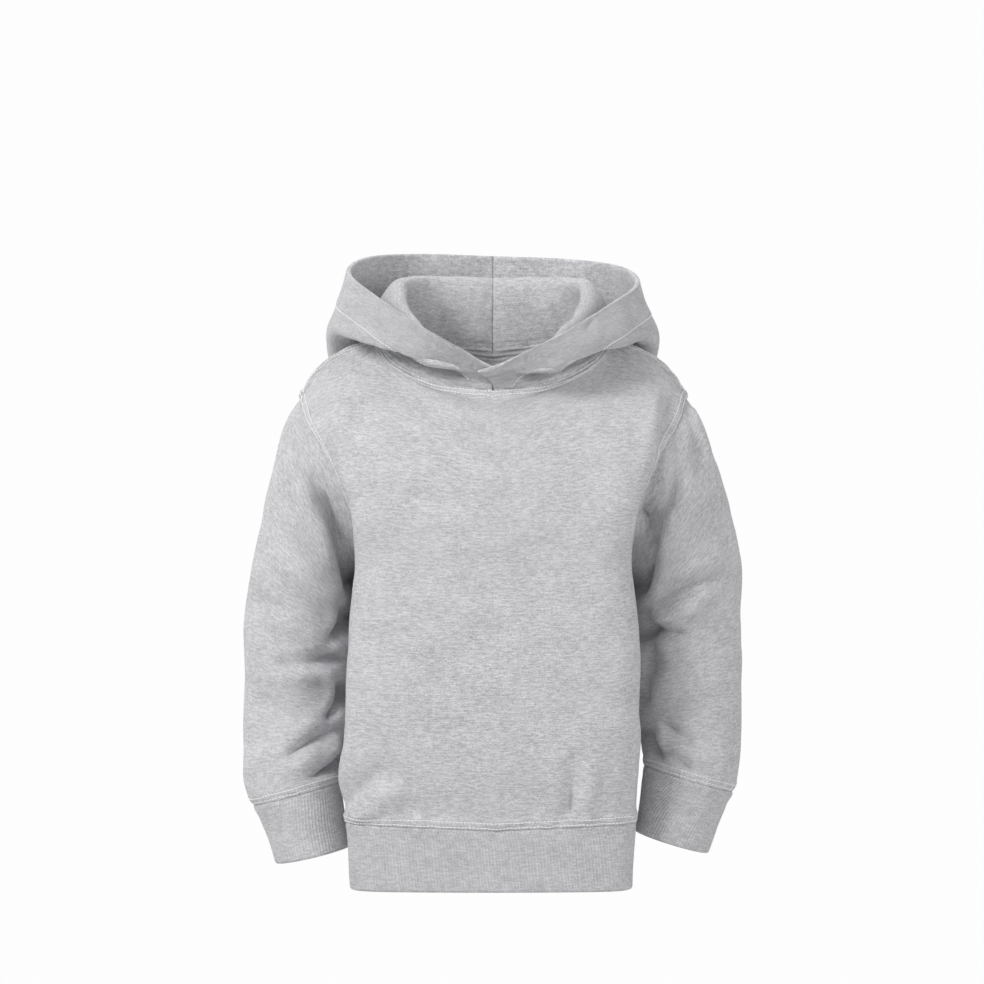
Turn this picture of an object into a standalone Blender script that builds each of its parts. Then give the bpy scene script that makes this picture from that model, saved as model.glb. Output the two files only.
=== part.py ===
"""Toddler pullover hoodie, hollow as when worn, cut and sewn from nine pieces of cloth.

The frame has +X to the viewer's right, the front of the garment towards -Y and +Z up.
The origin is the middle of the neck opening, where a wearer carries the garment.
Tables are in millimetres, and each mesh is turned into metres when it is made.
"""

from collections import namedtuple

import bpy
import numpy as np

MM = 0.001

# Cloth
BODY_CLOTH = 2.0
RIB_CLOTH = 3.0
HOOD_HEM_CLOTH = 3.6
HOOD_HEM_SHARE = 0.14
SEAM_GAP = 0.36
MITRE_MOST = 2.0
EVENING_STEPS = 80

# Cells in each piece
HALF_NECK_CELLS = 7
SHOULDER_CELLS = 5
BODY_ROWS = 15
SLEEVE_CELLS = 16
SLEEVE_ROWS = 14
CUFF_ROWS = 2
WAIST_ROWS = 2
HOOD_ROWS = 21

# Garment sizes
HALF_BODY_CELLS = HALF_NECK_CELLS + SHOULDER_CELLS
NECK_SHARE = HALF_NECK_CELLS / HALF_BODY_CELLS
ARMPIT = 7 / 15
SEAM_POWER = 8
EDGE_POWER = 16
CORNER_POWER = 1.7
HEM_Z = -366.0
HEM_PULL = 0.972
CUFF_PULL = 0.97
HOOD_SHARES = (0, 0.22, 0.56, 1)
HOOD_LEAN = 0.035
OVERLAP_ANGLES = (8.0, 42.0)
OVERLAP_START = 0.06
OVERLAP_LIFT = ((0, 0.045, 1), (0, 3.8, 5.6))

Fold = namedtuple("Fold", "across0 along0 across1 along1 depth width")
Finish = namedtuple("Finish", "colour roughness")

HEATHER = Finish((0.56, 0.56, 0.57), 0.92)
RIB = Finish((0.53, 0.53, 0.54), 0.92)

# The neckline, from the centre front (0) to the centre back (180).
NECKLINE_COLUMNS = ("angle", "x", "y", "z")
NECKLINE = (
    (0, 0, -62, -36),
    (30, 39, -55, -31),
    (60, 68, -35, -16),
    (90, 78, -5, 1),
    (120, 67, 26, 3),
    (150, 38, 45, -3),
    (180, 0, 52, -7),
)

# The shoulder seam, from the neck to the top of the sleeve.
SHOULDER = (
    (78, -5, 1),
    (94, -2, -4),
    (110, 0, -12),
    (122, 2, -23),
    (130, 3, -38),
)

# Half sections of the front, from the waist seam up to the yoke. Each runs from the side seam
# or armhole (edge) round a corner to the middle. Fullness squares the corner.
SECTION_COLUMNS = (
    "edge_x edge_y edge_z left right corner_y corner_z mid_y mid_z fullness"
).split()
FRONT = (
    (87, -8, -322, 106, 102, -88, -321, -90, -325, 3.0),
    (88, -8, -298, 114, 104, -92, -297, -94, -300, 3.0),
    (88, -8, -271, 109, 107, -94, -271, -96, -274, 3.2),
    (88, -8, -244, 106, 103, -95, -244, -97, -246, 3.4),
    (88, -8, -216, 104, 106, -95, -216, -97, -218, 3.4),
    (88, -8, -190, 101, 103, -94, -190, -96, -192, 3.4),
    (87, -8, -168, 99, 100, -93, -170, -95, -172, 3.4),
    (85, -9, -149, 97, 98, -91, -153, -94, -155, 3.4),
    (86, -34, -138, 97, 99, -90, -137, -93, -139, 3.2),
    (90, -51, -121, 97, 101, -88, -121, -92, -124, 3.0),
    (96, -58, -104, 98, 103, -86, -103, -90, -109, 2.8),
    (104, -57, -87, 100, 105, -81, -83, -87, -94, 2.4),
    (113, -51, -73, 104, 108, -72, -62, -83, -80, 2.0),
    (122, -39, -60, 106, 109, -57, -40, -77, -66, 1.7),
    (128, -20, -47, 106, 108, -32, -18, -70, -51, 1.4),
)

# The same for the back, whose side seams are those of the front.
BACK = (
    (87, -8, -322, 93, 93, 72, -323, 76, -324, 2.6),
    (88, -8, -298, 95, 95, 76, -298, 80, -299, 2.6),
    (88, -8, -271, 95, 95, 78, -271, 82, -272, 2.6),
    (88, -8, -244, 94, 94, 78, -244, 82, -245, 2.6),
    (88, -8, -216, 94, 94, 77, -216, 81, -217, 2.6),
    (88, -8, -190, 93, 94, 76, -190, 80, -190, 2.4),
    (87, -8, -168, 93, 94, 75, -170, 79, -169, 2.2),
    (85, -9, -149, 94, 95, 74, -153, 78, -150, 2.0),
    (87, 18, -138, 95, 96, 73, -136, 77, -133, 2.0),
    (93, 37, -121, 98, 99, 71, -119, 76, -116, 2.0),
    (101, 47, -102, 101, 102, 68, -101, 75, -98, 2.2),
    (109, 48, -84, 104, 104, 63, -82, 73, -80, 2.0),
    (117, 42, -68, 106, 106, 55, -62, 70, -62, 1.8),
    (124, 31, -55, 107, 107, 43, -41, 65, -44, 1.6),
    (128, 17, -45, 106, 106, 26, -18, 59, -26, 1.4),
)

# Rings of the sleeves below the armhole. The outer point is away from the body.
RING_COLUMNS = ("out_x", "out_z", "in_x", "in_z", "mid_y", "half_depth")
SLEEVE_LEFT = (
    (139, -54, 92, -158, -3, 53),
    (146, -76, 94, -167, -2, 53),
    (152, -100, 94.5, -178, 0, 51),
    (158, -130, 94, -190, 2, 49),
    (164, -160, 93.5, -205, 4, 47),
    (168, -190, 93.5, -222, 4, 45),
    (168.5, -222, 94, -241, 3, 43),
    (168.5, -253, 96, -261, -2, 41),
    (168.5, -281, 101, -278, -10, 38),
    (167, -301, 104, -290, -18, 34),
    (160, -313, 104, -298, -23, 29),
)
SLEEVE_RIGHT = (
    (140, -52, 92, -158, -3, 53),
    (148, -73, 94, -166, -2, 53),
    (156, -97, 94.5, -176, 0, 51),
    (163, -126, 94, -188, 2, 49),
    (168, -155, 95, -201, 4, 47),
    (168.5, -184, 94, -217, 4, 45),
    (168.5, -214, 94, -235, 3, 43),
    (168, -243, 96, -254, -2, 41),
    (167, -271, 100, -270, -10, 38),
    (165, -292, 103, -281, -18, 34),
    (160, -304, 103, -287, -23, 29),
)
CUFF_LEFT = (144.5, -352, 97, -341, -31, 26)
CUFF_RIGHT = (143, -345, 96.5, -331, -31, 26)

# The hood lies open on the shoulders: up from the neck to a roll, down to the bottom of the
# bag that hangs behind, and up again to the rim of its opening.
HOOD_COLUMNS = (
    "angle roll_x roll_y roll_z bag_x bag_y bag_z rim_x rim_y rim_z roll_width bag_width"
).split()
HOOD = (
    (-14, -16, -60, -31, -16, -63, -28, -17, -65, -25, 0.5, 0.5),
    (0, 0, -63, -30, 0, -66, -26, 0, -68, -21, 0.5, 0.5),
    (14, 16, -61, -28, 16, -65, -23, 17, -66, -11, 0.8, 0.8),
    (30, 34, -53, -8, 42, -72, -18, 42, -65, 2, 4.0, 5.0),
    (60, 57, -26, 18, 79, -48, -6, 77, -38, 25, 8.0, 12.0),
    (90, 64, 6, 39, 103, 3, 0, 98, 2, 43, 13.0, 21.0),
    (120, 55, 36, 45, 98, 62, -38, 88, 54, 57, 16.0, 25.0),
    (150, 31, 54, 46, 62, 104, -84, 52, 90, 63, 17.0, 28.0),
    (180, 0, 61, 46, 0, 119, -100, 0, 103, 64, 17.0, 30.0),
)

# The largest folds: a trough where depth is below nothing, else a ridge. Across and along
# are shares of the piece, from its left edge or armpit and from its lower edge or armhole.
FRONT_FOLDS = (
    Fold(0.22, 0.10, 0.34, 0.22, 3.5, 16),
    Fold(0.64, 0.02, 0.63, 0.24, -2.5, 12),
)
BACK_FOLDS = (
    Fold(0.30, 0.04, 0.36, 0.30, -3.0, 16),
    Fold(0.66, 0.08, 0.60, 0.26, -2.5, 14),
)
SLEEVE_FOLDS = (
    Fold(0.10, 0.03, 0.25, 0.11, -11.0, 12),
    Fold(0.14, 0.56, 0.36, 0.54, -4.0, 10),
    Fold(0.16, 0.66, 0.36, 0.72, -3.5, 10),
    Fold(0.66, 0.50, 0.90, 0.58, -4.0, 12),
)


def smooth(knots, values, at):
    """Reads rows of values at the given places, on a curve that passes through every row."""
    knots = np.asarray(knots, float)
    values = np.asarray(values, float)
    slopes = np.gradient(values, knots, axis=0)
    at = np.clip(at, knots[0], knots[-1])
    row = np.clip(np.searchsorted(knots, at, side="right") - 1, 0, len(knots) - 2)
    span = knots[row + 1] - knots[row]
    t = (at - knots[row]) / span
    shape = t.shape + (1,) * (values.ndim - 1)
    t, span = t.reshape(shape), span.reshape(shape)
    start = (2 * t**3 - 3 * t**2 + 1) * values[row] + (t**3 - 2 * t**2 + t) * span * slopes[row]
    end = (3 * t**2 - 2 * t**3) * values[row + 1] + (t**3 - t**2) * span * slopes[row + 1]
    return start + end


def columns_of(names, rows):
    """Turns a table into a dictionary of named columns."""
    return dict(zip(names, np.array(rows, float).T))


def neckline(angle):
    """Points of the neckline at angles in degrees, below 0 and above 0 for left and right."""
    table = columns_of(NECKLINE_COLUMNS, NECKLINE)
    points = smooth(table["angle"], np.stack([table[k] for k in "xyz"], axis=1), np.abs(angle))
    points[..., 0] *= np.where(angle < 0, -1, 1)
    return points


def top_edge(s, back):
    """The neckline and shoulder seams, for places across a body piece from -1 to 1."""
    across = np.abs(s)
    angle = 90 * np.clip(across / NECK_SHARE, 0, 1)
    points = neckline(180 - angle if back else angle)
    shoulder = np.clip((across - NECK_SHARE) / (1 - NECK_SHARE), 0, 1)
    seam = smooth(np.linspace(0, 1, len(SHOULDER)), SHOULDER, shoulder)
    points = np.where((across > NECK_SHARE)[:, None], seam, points)
    points[:, 0] = np.abs(points[:, 0]) * np.where(s < 0, -1, 1)
    return points


def section_points(s, v, back):
    """The front or back at each place across (-1 to 1) and up (0 to 1): an array [s, v, xyz]."""
    table = columns_of(SECTION_COLUMNS, BACK if back else FRONT)
    side = np.where(s < 0, -1, 1)[:, None]
    t = (np.abs(s) ** CORNER_POWER)[:, None]
    corner_x = np.where(side < 0, table["left"], table["right"])
    middle, corner, edge = (1 - t) ** 2, 2 * t * (1 - t) * table["fullness"], t**2
    total = middle + corner + edge
    x = (corner * corner_x + edge * table["edge_x"]) / total * side
    y, z = (
        (middle * table["mid_" + k] + corner * table["corner_" + k] + edge * table["edge_" + k])
        / total
        for k in "yz"
    )
    sections = np.stack([x, y, z], axis=2).transpose(1, 0, 2)
    sections = np.concatenate([sections, top_edge(s, back)[None]])
    return smooth(np.linspace(0, 1, len(sections)), sections, v).transpose(1, 0, 2)


def body_points(s, v, back=False):
    """Section points, with the edges of front and back drawn onto one side seam."""
    points = section_points(s, v, back)
    ends = np.where(s < 0, -1.0, 1.0)
    own, other = section_points(ends, v, back), section_points(ends, v, not back)
    near = (np.abs(s) ** SEAM_POWER)[:, None, None] * (v < ARMPIT)[None, :, None]
    return points + (other - own) / 2 * near


def armhole(side, turn):
    """The armhole from the armpit (0) by the front to the shoulder (0.5) and back down (1)."""
    edge = np.array([float(side)])
    front = body_points(edge, ARMPIT + (1 - ARMPIT) * np.clip(2 * turn, 0, 1))[0]
    back = body_points(edge, ARMPIT + (1 - ARMPIT) * np.clip(2 - 2 * turn, 0, 1), back=True)[0]
    return np.where((turn <= 0.5)[:, None], front, back)


def ring(side, row, turn):
    """One ring of a sleeve or cuff from a row of its table."""
    size = dict(zip(RING_COLUMNS, row))
    outward = (1 - np.cos(2 * np.pi * turn)) / 2
    x = size["in_x"] + (size["out_x"] - size["in_x"]) * outward
    y = size["mid_y"] - size["half_depth"] * np.sin(2 * np.pi * turn)
    z = size["in_z"] + (size["out_z"] - size["in_z"]) * outward
    return np.stack([side * x, y, z], axis=1)


def sleeve_points(side, turn, w):
    """A sleeve at each place round (0 to 1) and down (0 to 1) from the armhole to the cuff."""
    rows = SLEEVE_LEFT if side < 0 else SLEEVE_RIGHT
    rings = np.stack([armhole(side, turn)] + [ring(side, row, turn) for row in rows])
    return smooth(np.linspace(0, 1, len(rings)), rings, w).transpose(1, 0, 2)


def cuff_points(side, turn, w):
    """A cuff, from the sleeve's last ring down to its open end."""
    top = ring(side, (SLEEVE_LEFT if side < 0 else SLEEVE_RIGHT)[-1], turn)
    bottom = ring(side, CUFF_LEFT if side < 0 else CUFF_RIGHT, turn)
    middle = bottom + (top - bottom) * 0.45
    centre = middle.mean(axis=0)
    middle = centre + (middle - centre) * CUFF_PULL
    return smooth([0, 0.55, 1], np.stack([top, middle, bottom]), w).transpose(1, 0, 2)


def waist_points(s, v):
    """The waistband's front and back halves as one ring, from the hem (0) to its seam (1)."""
    level = np.array([0.0])
    front = body_points(s, level)[:, 0]
    back = body_points(-s[1:-1], level, back=True)[:, 0]
    top = np.concatenate([front, back])
    hem = top * (HEM_PULL, HEM_PULL, 0) + (0, 0, HEM_Z)
    middle = (top + hem) / 2 + (hem - top) * (0.1, 0.1, 0)
    return smooth([0, 0.5, 1], np.stack([hem, middle, top]), v).transpose(1, 0, 2)


def hood_points(side, angle, w):
    """Half of the hood, at each angle round the neck and each place from the seam to the rim."""
    crossing = np.clip((w - OVERLAP_START) / (1 - OVERLAP_START), -0.08, 1)[None, :] * (w > 0)
    near_front = np.clip(1 - angle / OVERLAP_ANGLES[1], 0, 1)[:, None]
    angle = angle[:, None] - OVERLAP_ANGLES[0] * crossing * near_front
    table = columns_of(HOOD_COLUMNS, HOOD)
    at = smooth(table["angle"], np.stack([table[k] for k in HOOD_COLUMNS[1:]], axis=1), angle)
    roll, bag, rim = at[..., 0:3], at[..., 3:6], at[..., 6:9]
    seam = neckline(angle)
    turn = np.radians(angle)
    outward = np.stack([np.sin(turn), -np.cos(turn), np.zeros_like(turn)], axis=2)
    lean = (rim - bag) * 0.4
    rise = (roll - seam) * 0.4
    over, under = outward * at[..., 9:10], outward * at[..., 10:11]
    curves = (
        (seam, seam + rise, roll - over, roll),
        (roll, roll + over, bag - under, bag),
        (bag, bag + under, rim - lean, rim),
    )
    points = np.zeros_like(seam)
    for (a, b, c, d), low, high in zip(curves, HOOD_SHARES[:-1], HOOD_SHARES[1:]):
        t = np.clip((w - low) / (high - low), 0, 1)[None, :, None]
        read = (1 - t) ** 3 * a + 3 * t * (1 - t) ** 2 * b + 3 * t**2 * (1 - t) * c + t**3 * d
        points = np.where((w >= low)[None, :, None], read, points)
    if side > 0:
        near = np.clip((OVERLAP_ANGLES[1] - angle) / np.ptp(OVERLAP_ANGLES), 0, 1)
        lift = near**2 * (3 - 2 * near) * np.interp(w, *OVERLAP_LIFT)[None, :]
        points += outward * lift[:, :, None]
    points[..., 0] *= side
    points[..., 2] -= HOOD_LEAN * points[..., 0] * w[None, :]
    return points


def normals_of(grid, closed):
    """Outward directions at each point of a grid."""
    if closed:
        wrapped = np.concatenate([grid[-1:], grid, grid[:1]])
        across = np.gradient(wrapped, axis=0)[1:-1]
    else:
        across = np.gradient(grid, axis=0)
    along = np.gradient(grid, axis=1)
    normal = np.cross(across, along)
    return normal / np.linalg.norm(normal, axis=2, keepdims=True)


def folded(grid, folds, closed=False, facing=1):
    """Moves a grid in or out along its folds, which fade towards their ends."""
    count = (grid.shape[0], grid.shape[1] - 1) if closed else (grid.shape[0] - 1, grid.shape[1] - 1)
    across = np.arange(grid.shape[0])[:, None] / count[0]
    along = np.arange(grid.shape[1])[None, :] / count[1]
    width = np.linalg.norm(np.diff(grid, axis=0), axis=2).sum(axis=0).mean()
    length = np.linalg.norm(np.diff(grid, axis=1), axis=2).sum(axis=1).mean()
    moved = np.zeros(grid.shape[:2])
    for fold in folds:
        start = np.array([fold.across0 * width, fold.along0 * length])
        run = np.array([fold.across1 * width, fold.along1 * length]) - start
        place = np.stack(np.broadcast_arrays(across * width, along * length), axis=2) - start
        share = (place @ run) / (run @ run)
        beside = np.abs(place @ np.array([-run[1], run[0]])) / np.linalg.norm(run)
        beyond = np.clip(np.abs(share - 0.5) - 0.5, 0, None) * np.linalg.norm(run)
        moved += fold.depth * np.exp(-((beside / fold.width) ** 2) - (beyond / fold.width) ** 2)
    moved *= 1 - np.abs(2 * along - 1) ** EDGE_POWER
    if not closed:
        moved *= 1 - np.abs(2 * across - 1) ** EDGE_POWER
    return grid + normals_of(grid, closed) * moved[:, :, None] * facing


class Piece:
    """A piece of cloth: a grid of points, closed round or open, that becomes a wall."""

    def __init__(self, name, grid, finish, thickness=BODY_CLOTH, closed=False):
        self.name = name
        self.grid = grid
        self.finish = finish
        self.closed = closed
        self.thickness = np.broadcast_to(thickness, grid.shape[:2])
        self.normals = normals_of(grid, closed)
        self.pull = np.zeros_like(grid)

    def edges(self):
        """Index pairs of the open edges: the edge's points and the points next to them."""
        every = slice(None)
        found = [((every, 0), (every, 1)), ((every, -1), (every, -2))]
        if not self.closed:
            found += [((0, every), (1, every)), ((-1, every), (-2, every))]
        return found


def key_of(point):
    return tuple(np.round(point, 2))


def evenest(normals):
    """The direction that lies most evenly between all the normals, and how far to mitre it."""
    point = normals.mean(axis=0)
    for _ in range(EVENING_STEPS):
        gap = normals[np.argmin(normals @ point)] - point
        point = point - gap * min(max((point @ gap) / (gap @ gap), -1), 0)
    evenness = np.linalg.norm(point)
    return point / evenness, 1 / max(evenness, 1 / MITRE_MOST)


def draw_back(points, i, inward, normal, closed):
    """The move that draws one point of a seam away from both stretches of seam beside it."""
    last = len(points) - 1
    before = points[i - 1] if i or closed else points[1]
    after = points[(i + 1) % len(points)] if i < last or closed else points[last - 1]
    aways = []
    for beside in (before, after):
        along = (beside - points[i]) / np.linalg.norm(beside - points[i])
        away = inward - (inward @ normal) * normal
        away -= (away @ along) * along
        aways.append(away / np.linalg.norm(away))
    return (aways[0] + aways[1]) / (1 + max(aways[0] @ aways[1], 0)) * SEAM_GAP / 2


def share_seams(pieces):
    """Gives points that pieces share one direction, and draws the pieces apart there."""
    met = {}
    for piece in pieces:
        marked = set()
        for edge, _ in piece.edges():
            for point, normal in zip(piece.grid[edge], piece.normals[edge]):
                key = key_of(point)
                if key not in marked:
                    met.setdefault(key, []).append(normal)
                marked.add(key)
    seams = {key: evenest(np.array(normals)) for key, normals in met.items() if len(normals) > 1}
    for piece in pieces:
        turned = piece.normals.copy()
        for edge, inner in piece.edges():
            points = piece.grid[edge]
            inward = piece.grid[inner] - points
            for i, point in enumerate(points):
                if key_of(point) not in seams:
                    continue
                normal, mitre = seams[key_of(point)]
                turned[edge][i] = normal * mitre
                piece.pull[edge][i] += draw_back(points, i, inward[i], normal, piece.closed)
        piece.normals = turned


def wall_mesh(piece):
    """The wall between a piece's outer and inner faces, with a rim along its open edges."""
    centre = piece.grid + piece.pull
    half = piece.normals * piece.thickness[:, :, None] / 2
    count_u, count_v = piece.grid.shape[:2]
    points = np.concatenate([(centre + half).reshape(-1, 3), (centre - half).reshape(-1, 3)])
    flat = piece.grid.reshape(-1, 3)
    inner = len(flat)

    def corner(u, v, layer=0):
        return (u % count_u) * count_v + v + layer * inner

    def rim(first, second):
        """Two triangles from the outer to the inner face, split alike by both neighbours."""
        a, b = corner(*first), corner(*second)
        if key_of(flat[a]) < key_of(flat[b]):
            return [(a, a + inner, b), (b, a + inner, b + inner)]
        return [(a, b + inner, b), (a, a + inner, b + inner)]

    faces = []
    cells_u = count_u if piece.closed else count_u - 1
    for u in range(cells_u):
        for v in range(count_v - 1):
            cell = (corner(u, v), corner(u + 1, v), corner(u + 1, v + 1), corner(u, v + 1))
            faces.append(cell)
            faces.append(tuple(index + inner for index in reversed(cell)))
        faces += rim((u, 0), (u + 1, 0))
        faces += rim((u + 1, count_v - 1), (u, count_v - 1))
    if not piece.closed:
        for v in range(count_v - 1):
            faces += rim((0, v + 1), (0, v))
            faces += rim((count_u - 1, v), (count_u - 1, v + 1))
    mesh = bpy.data.meshes.new(piece.name)
    mesh.from_pydata((points * MM).tolist(), [], faces)
    mesh.validate()
    mesh.shade_smooth()
    mesh.set_sharp_from_angle(angle=np.radians(50))
    return mesh


def material_of(name, finish):
    """A cloth material for one piece."""
    material = bpy.data.materials.new(name)
    material.use_nodes = True
    shader = material.node_tree.nodes["Principled BSDF"]
    shader.inputs["Base Color"].default_value = (*finish.colour, 1)
    shader.inputs["Roughness"].default_value = finish.roughness
    shader.inputs["Metallic"].default_value = 0
    return material


def body_pieces():
    """The front and back, and the waistband that closes them below."""
    s = np.linspace(-1, 1, 2 * HALF_BODY_CELLS + 1)
    v = np.linspace(0, 1, BODY_ROWS + 1)
    front = folded(body_points(s, v), FRONT_FOLDS)
    back = folded(body_points(-s, v, back=True), BACK_FOLDS)
    band = waist_points(s, np.linspace(0, 1, WAIST_ROWS + 1))
    return [
        Piece("front", front, HEATHER),
        Piece("back", back, HEATHER),
        Piece("waistband", band, RIB, RIB_CLOTH, closed=True),
    ]


def arm_pieces(side, name):
    """A sleeve and its cuff."""
    turn = np.arange(SLEEVE_CELLS) / SLEEVE_CELLS
    sleeve = sleeve_points(side, turn, np.linspace(0, 1, SLEEVE_ROWS + 1))
    sleeve = folded(sleeve, SLEEVE_FOLDS, closed=True, facing=-side)
    cuff = cuff_points(side, turn, np.linspace(0, 1, CUFF_ROWS + 1))
    grids = [("sleeve_" + name, sleeve, HEATHER, BODY_CLOTH), ("cuff_" + name, cuff, RIB, RIB_CLOTH)]
    return [
        Piece(label, grid if side < 0 else grid[::-1], finish, cloth, closed=True)
        for label, grid, finish, cloth in grids
    ]


def hood_piece(side, name):
    """Half of the hood, thicker at the turned hem of its opening."""
    angle = np.linspace(0, 180, 2 * HALF_NECK_CELLS + 1)
    w = np.linspace(0, 1, HOOD_ROWS + 1)
    grid = hood_points(side, angle, w)
    cloth = np.where(w > 1 - HOOD_HEM_SHARE, HOOD_HEM_CLOTH, BODY_CLOTH)[None, :]
    return Piece("hood_" + name, grid[::-1] if side < 0 else grid, HEATHER, cloth)


def main():
    for item in list(bpy.data.objects):
        bpy.data.objects.remove(item)
    pieces = body_pieces()
    pieces += arm_pieces(-1, "left") + arm_pieces(1, "right")
    pieces += [hood_piece(-1, "left"), hood_piece(1, "right")]
    share_seams(pieces)
    for piece in pieces:
        mesh = wall_mesh(piece)
        mesh.materials.append(material_of(piece.name, piece.finish))
        bpy.context.collection.objects.link(bpy.data.objects.new(piece.name, mesh))


main()
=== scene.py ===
"""Toddler pullover hoodie in heather grey sweatshirt cloth, hollow as when worn.

Each piece of cloth is a thin shell on the form that the frame gives it: the front and back,
two sleeves, two halves of the hood, and the ribbed waistband and cuffs. Creases, seam ditches
and twin rows of stitches are worked into the shells, and the cloth's marl, slubs, nap and ribs
come from shader node groups. Tables are in millimetres, as a cutter would measure them.
"""

import logging
import math
from dataclasses import dataclass, field
from enum import Enum
from typing import NamedTuple

import bpy
import numpy as np
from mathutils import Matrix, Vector


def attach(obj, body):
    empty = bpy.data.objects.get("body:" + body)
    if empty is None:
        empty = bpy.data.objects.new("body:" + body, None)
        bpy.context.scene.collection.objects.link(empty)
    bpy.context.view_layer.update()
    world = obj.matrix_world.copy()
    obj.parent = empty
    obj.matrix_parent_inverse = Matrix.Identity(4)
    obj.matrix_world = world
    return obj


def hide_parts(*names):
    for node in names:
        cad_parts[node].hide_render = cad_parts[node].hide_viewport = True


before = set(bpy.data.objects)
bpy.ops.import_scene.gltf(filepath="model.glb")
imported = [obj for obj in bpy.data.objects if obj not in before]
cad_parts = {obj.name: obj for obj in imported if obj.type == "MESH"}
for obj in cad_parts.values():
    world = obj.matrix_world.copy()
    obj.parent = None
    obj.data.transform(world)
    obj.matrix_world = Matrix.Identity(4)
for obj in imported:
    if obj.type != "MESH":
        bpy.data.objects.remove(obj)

LOG = logging.getLogger("hoodie")
MM = 0.001
BODY = "root"
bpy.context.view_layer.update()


class Side(Enum):
    """A side of the garment, as seen from the front."""

    LEFT = -1
    RIGHT = 1

    @property
    def label(self) -> str:
        """The word that ends a node's name."""
        return self.name.lower()


class Cloth(Enum):
    """The two cloths, by the name of their material slot."""

    SWEATSHIRT = "sweatshirt_cloth"
    RIB = "rib_knit"


# ---------------------------------------------------------------------------------------------
# Tables of the cut, in millimetres
# ---------------------------------------------------------------------------------------------


class Section(NamedTuple):
    """Half a section of the front or back, from its edge round a corner to its middle."""

    edge_x: float
    edge_y: float
    edge_z: float
    left: float
    right: float
    corner_y: float
    corner_z: float
    mid_y: float
    mid_z: float
    fullness: float


class Ring(NamedTuple):
    """A ring of a sleeve or cuff: its outer and inner points and its depth."""

    out_x: float
    out_z: float
    in_x: float
    in_z: float
    mid_y: float
    half_depth: float


class Station(NamedTuple):
    """The hood at one angle round the neck: its inner roll, the bottom of its bag, its rim."""

    angle: float
    roll_x: float
    roll_y: float
    roll_z: float
    bag_x: float
    bag_y: float
    bag_z: float
    rim_x: float
    rim_y: float
    rim_z: float
    roll_width: float
    bag_width: float


class NeckPoint(NamedTuple):
    """A point of the neckline at an angle from the centre front."""

    angle: float
    x: float
    y: float
    z: float


class Fold(NamedTuple):
    """A large fold: a trough where depth is below nothing, placed in shares of a sleeve."""

    across0: float
    along0: float
    across1: float
    along1: float
    depth: float
    width: float


class Crease(NamedTuple):
    """A soft trough (depth below nothing) or ridge, from one place to another as seen square on.

    It bows sideways by bow, and grows wider and deeper by a share of grow towards its end.
    """

    x0: float
    z0: float
    x1: float
    z1: float
    depth: float
    width: float
    bow: float = 0.0
    grow: float = 0.0


BODY_CLOTH = 2.0
RIB_CLOTH = 3.0
HOOD_HEM_CLOTH = 3.6
HOOD_HEM = 25.0
NECK_SHARE = 7 / 12
ARMPIT = 7 / 15
SEAM_POWER = 8
EDGE_POWER = 16
CORNER_POWER = 1.7
HEM_Z = -366.0
HEM_PULL = 0.972
CUFF_PULL = 0.97
HOOD_SHARES = (0, 0.22, 0.56, 1)
HOOD_LEAN = 0.035
OVERLAP_ANGLES = (8.0, 42.0)
OVERLAP_START = 0.1
OVERLAP_LIFT = ((0, 0.1, 0.2, 1), (0, 0.8, 3.4, 5.6))

# Steps of the meshes, and how seams, stitches and unevenness are sized.
DENSE = 241
EVEN = np.linspace(0, 1, 241)
TORSO_COLUMNS = 130
TORSO_ROWS = 120
SLEEVE_COLUMNS = 96
SLEEVE_ROWS = 112
CUFF_ROWS = 20
WAIST_COLUMNS = 264
WAIST_ROWS = 18
HOOD_COLUMNS = 100
HOOD_ROWS = 104
EDGE_STEPS = np.array((0.25, 0.6, 1.0, 1.5, 2.1, 2.8, 3.5, 4.2, 5.0, 5.9, 7.0))
RIPPLE_WAVES = 14
CREASE_SHARPNESS = 1.5
LEAST_CREASE = 2.4
EDGE_FADE = 5.0
PUCKER = 0.55
SEAM_ALLOWANCE = 7.0
STITCH_ROWS = (1.8, 5.2)
STITCH_PITCH = 2.5
STITCH_LENGTH = 2.35
STITCH_RADIUS = 0.46
STITCH_LIFT = 0.26
KNIT_COLUMN = 0.0013
KNIT_COURSE = 0.0011
FLOOR_Z = -0.42
WORLD_LIGHT = 0.40
FLOOR_LIGHT = 0.60

# The neckline, from the centre front (0) to the centre back (180).
NECKLINE = (
    NeckPoint(0, 0, -62, -36),
    NeckPoint(30, 39, -55, -31),
    NeckPoint(60, 68, -35, -16),
    NeckPoint(90, 78, -5, 1),
    NeckPoint(120, 67, 26, 3),
    NeckPoint(150, 38, 45, -3),
    NeckPoint(180, 0, 52, -7),
)
# The shoulder seam, from the neck to the top of the sleeve, as x, y and z.
SHOULDER = (
    (78, -5, 1),
    (94, -2, -4),
    (110, 0, -12),
    (122, 2, -23),
    (130, 3, -38),
)
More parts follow.
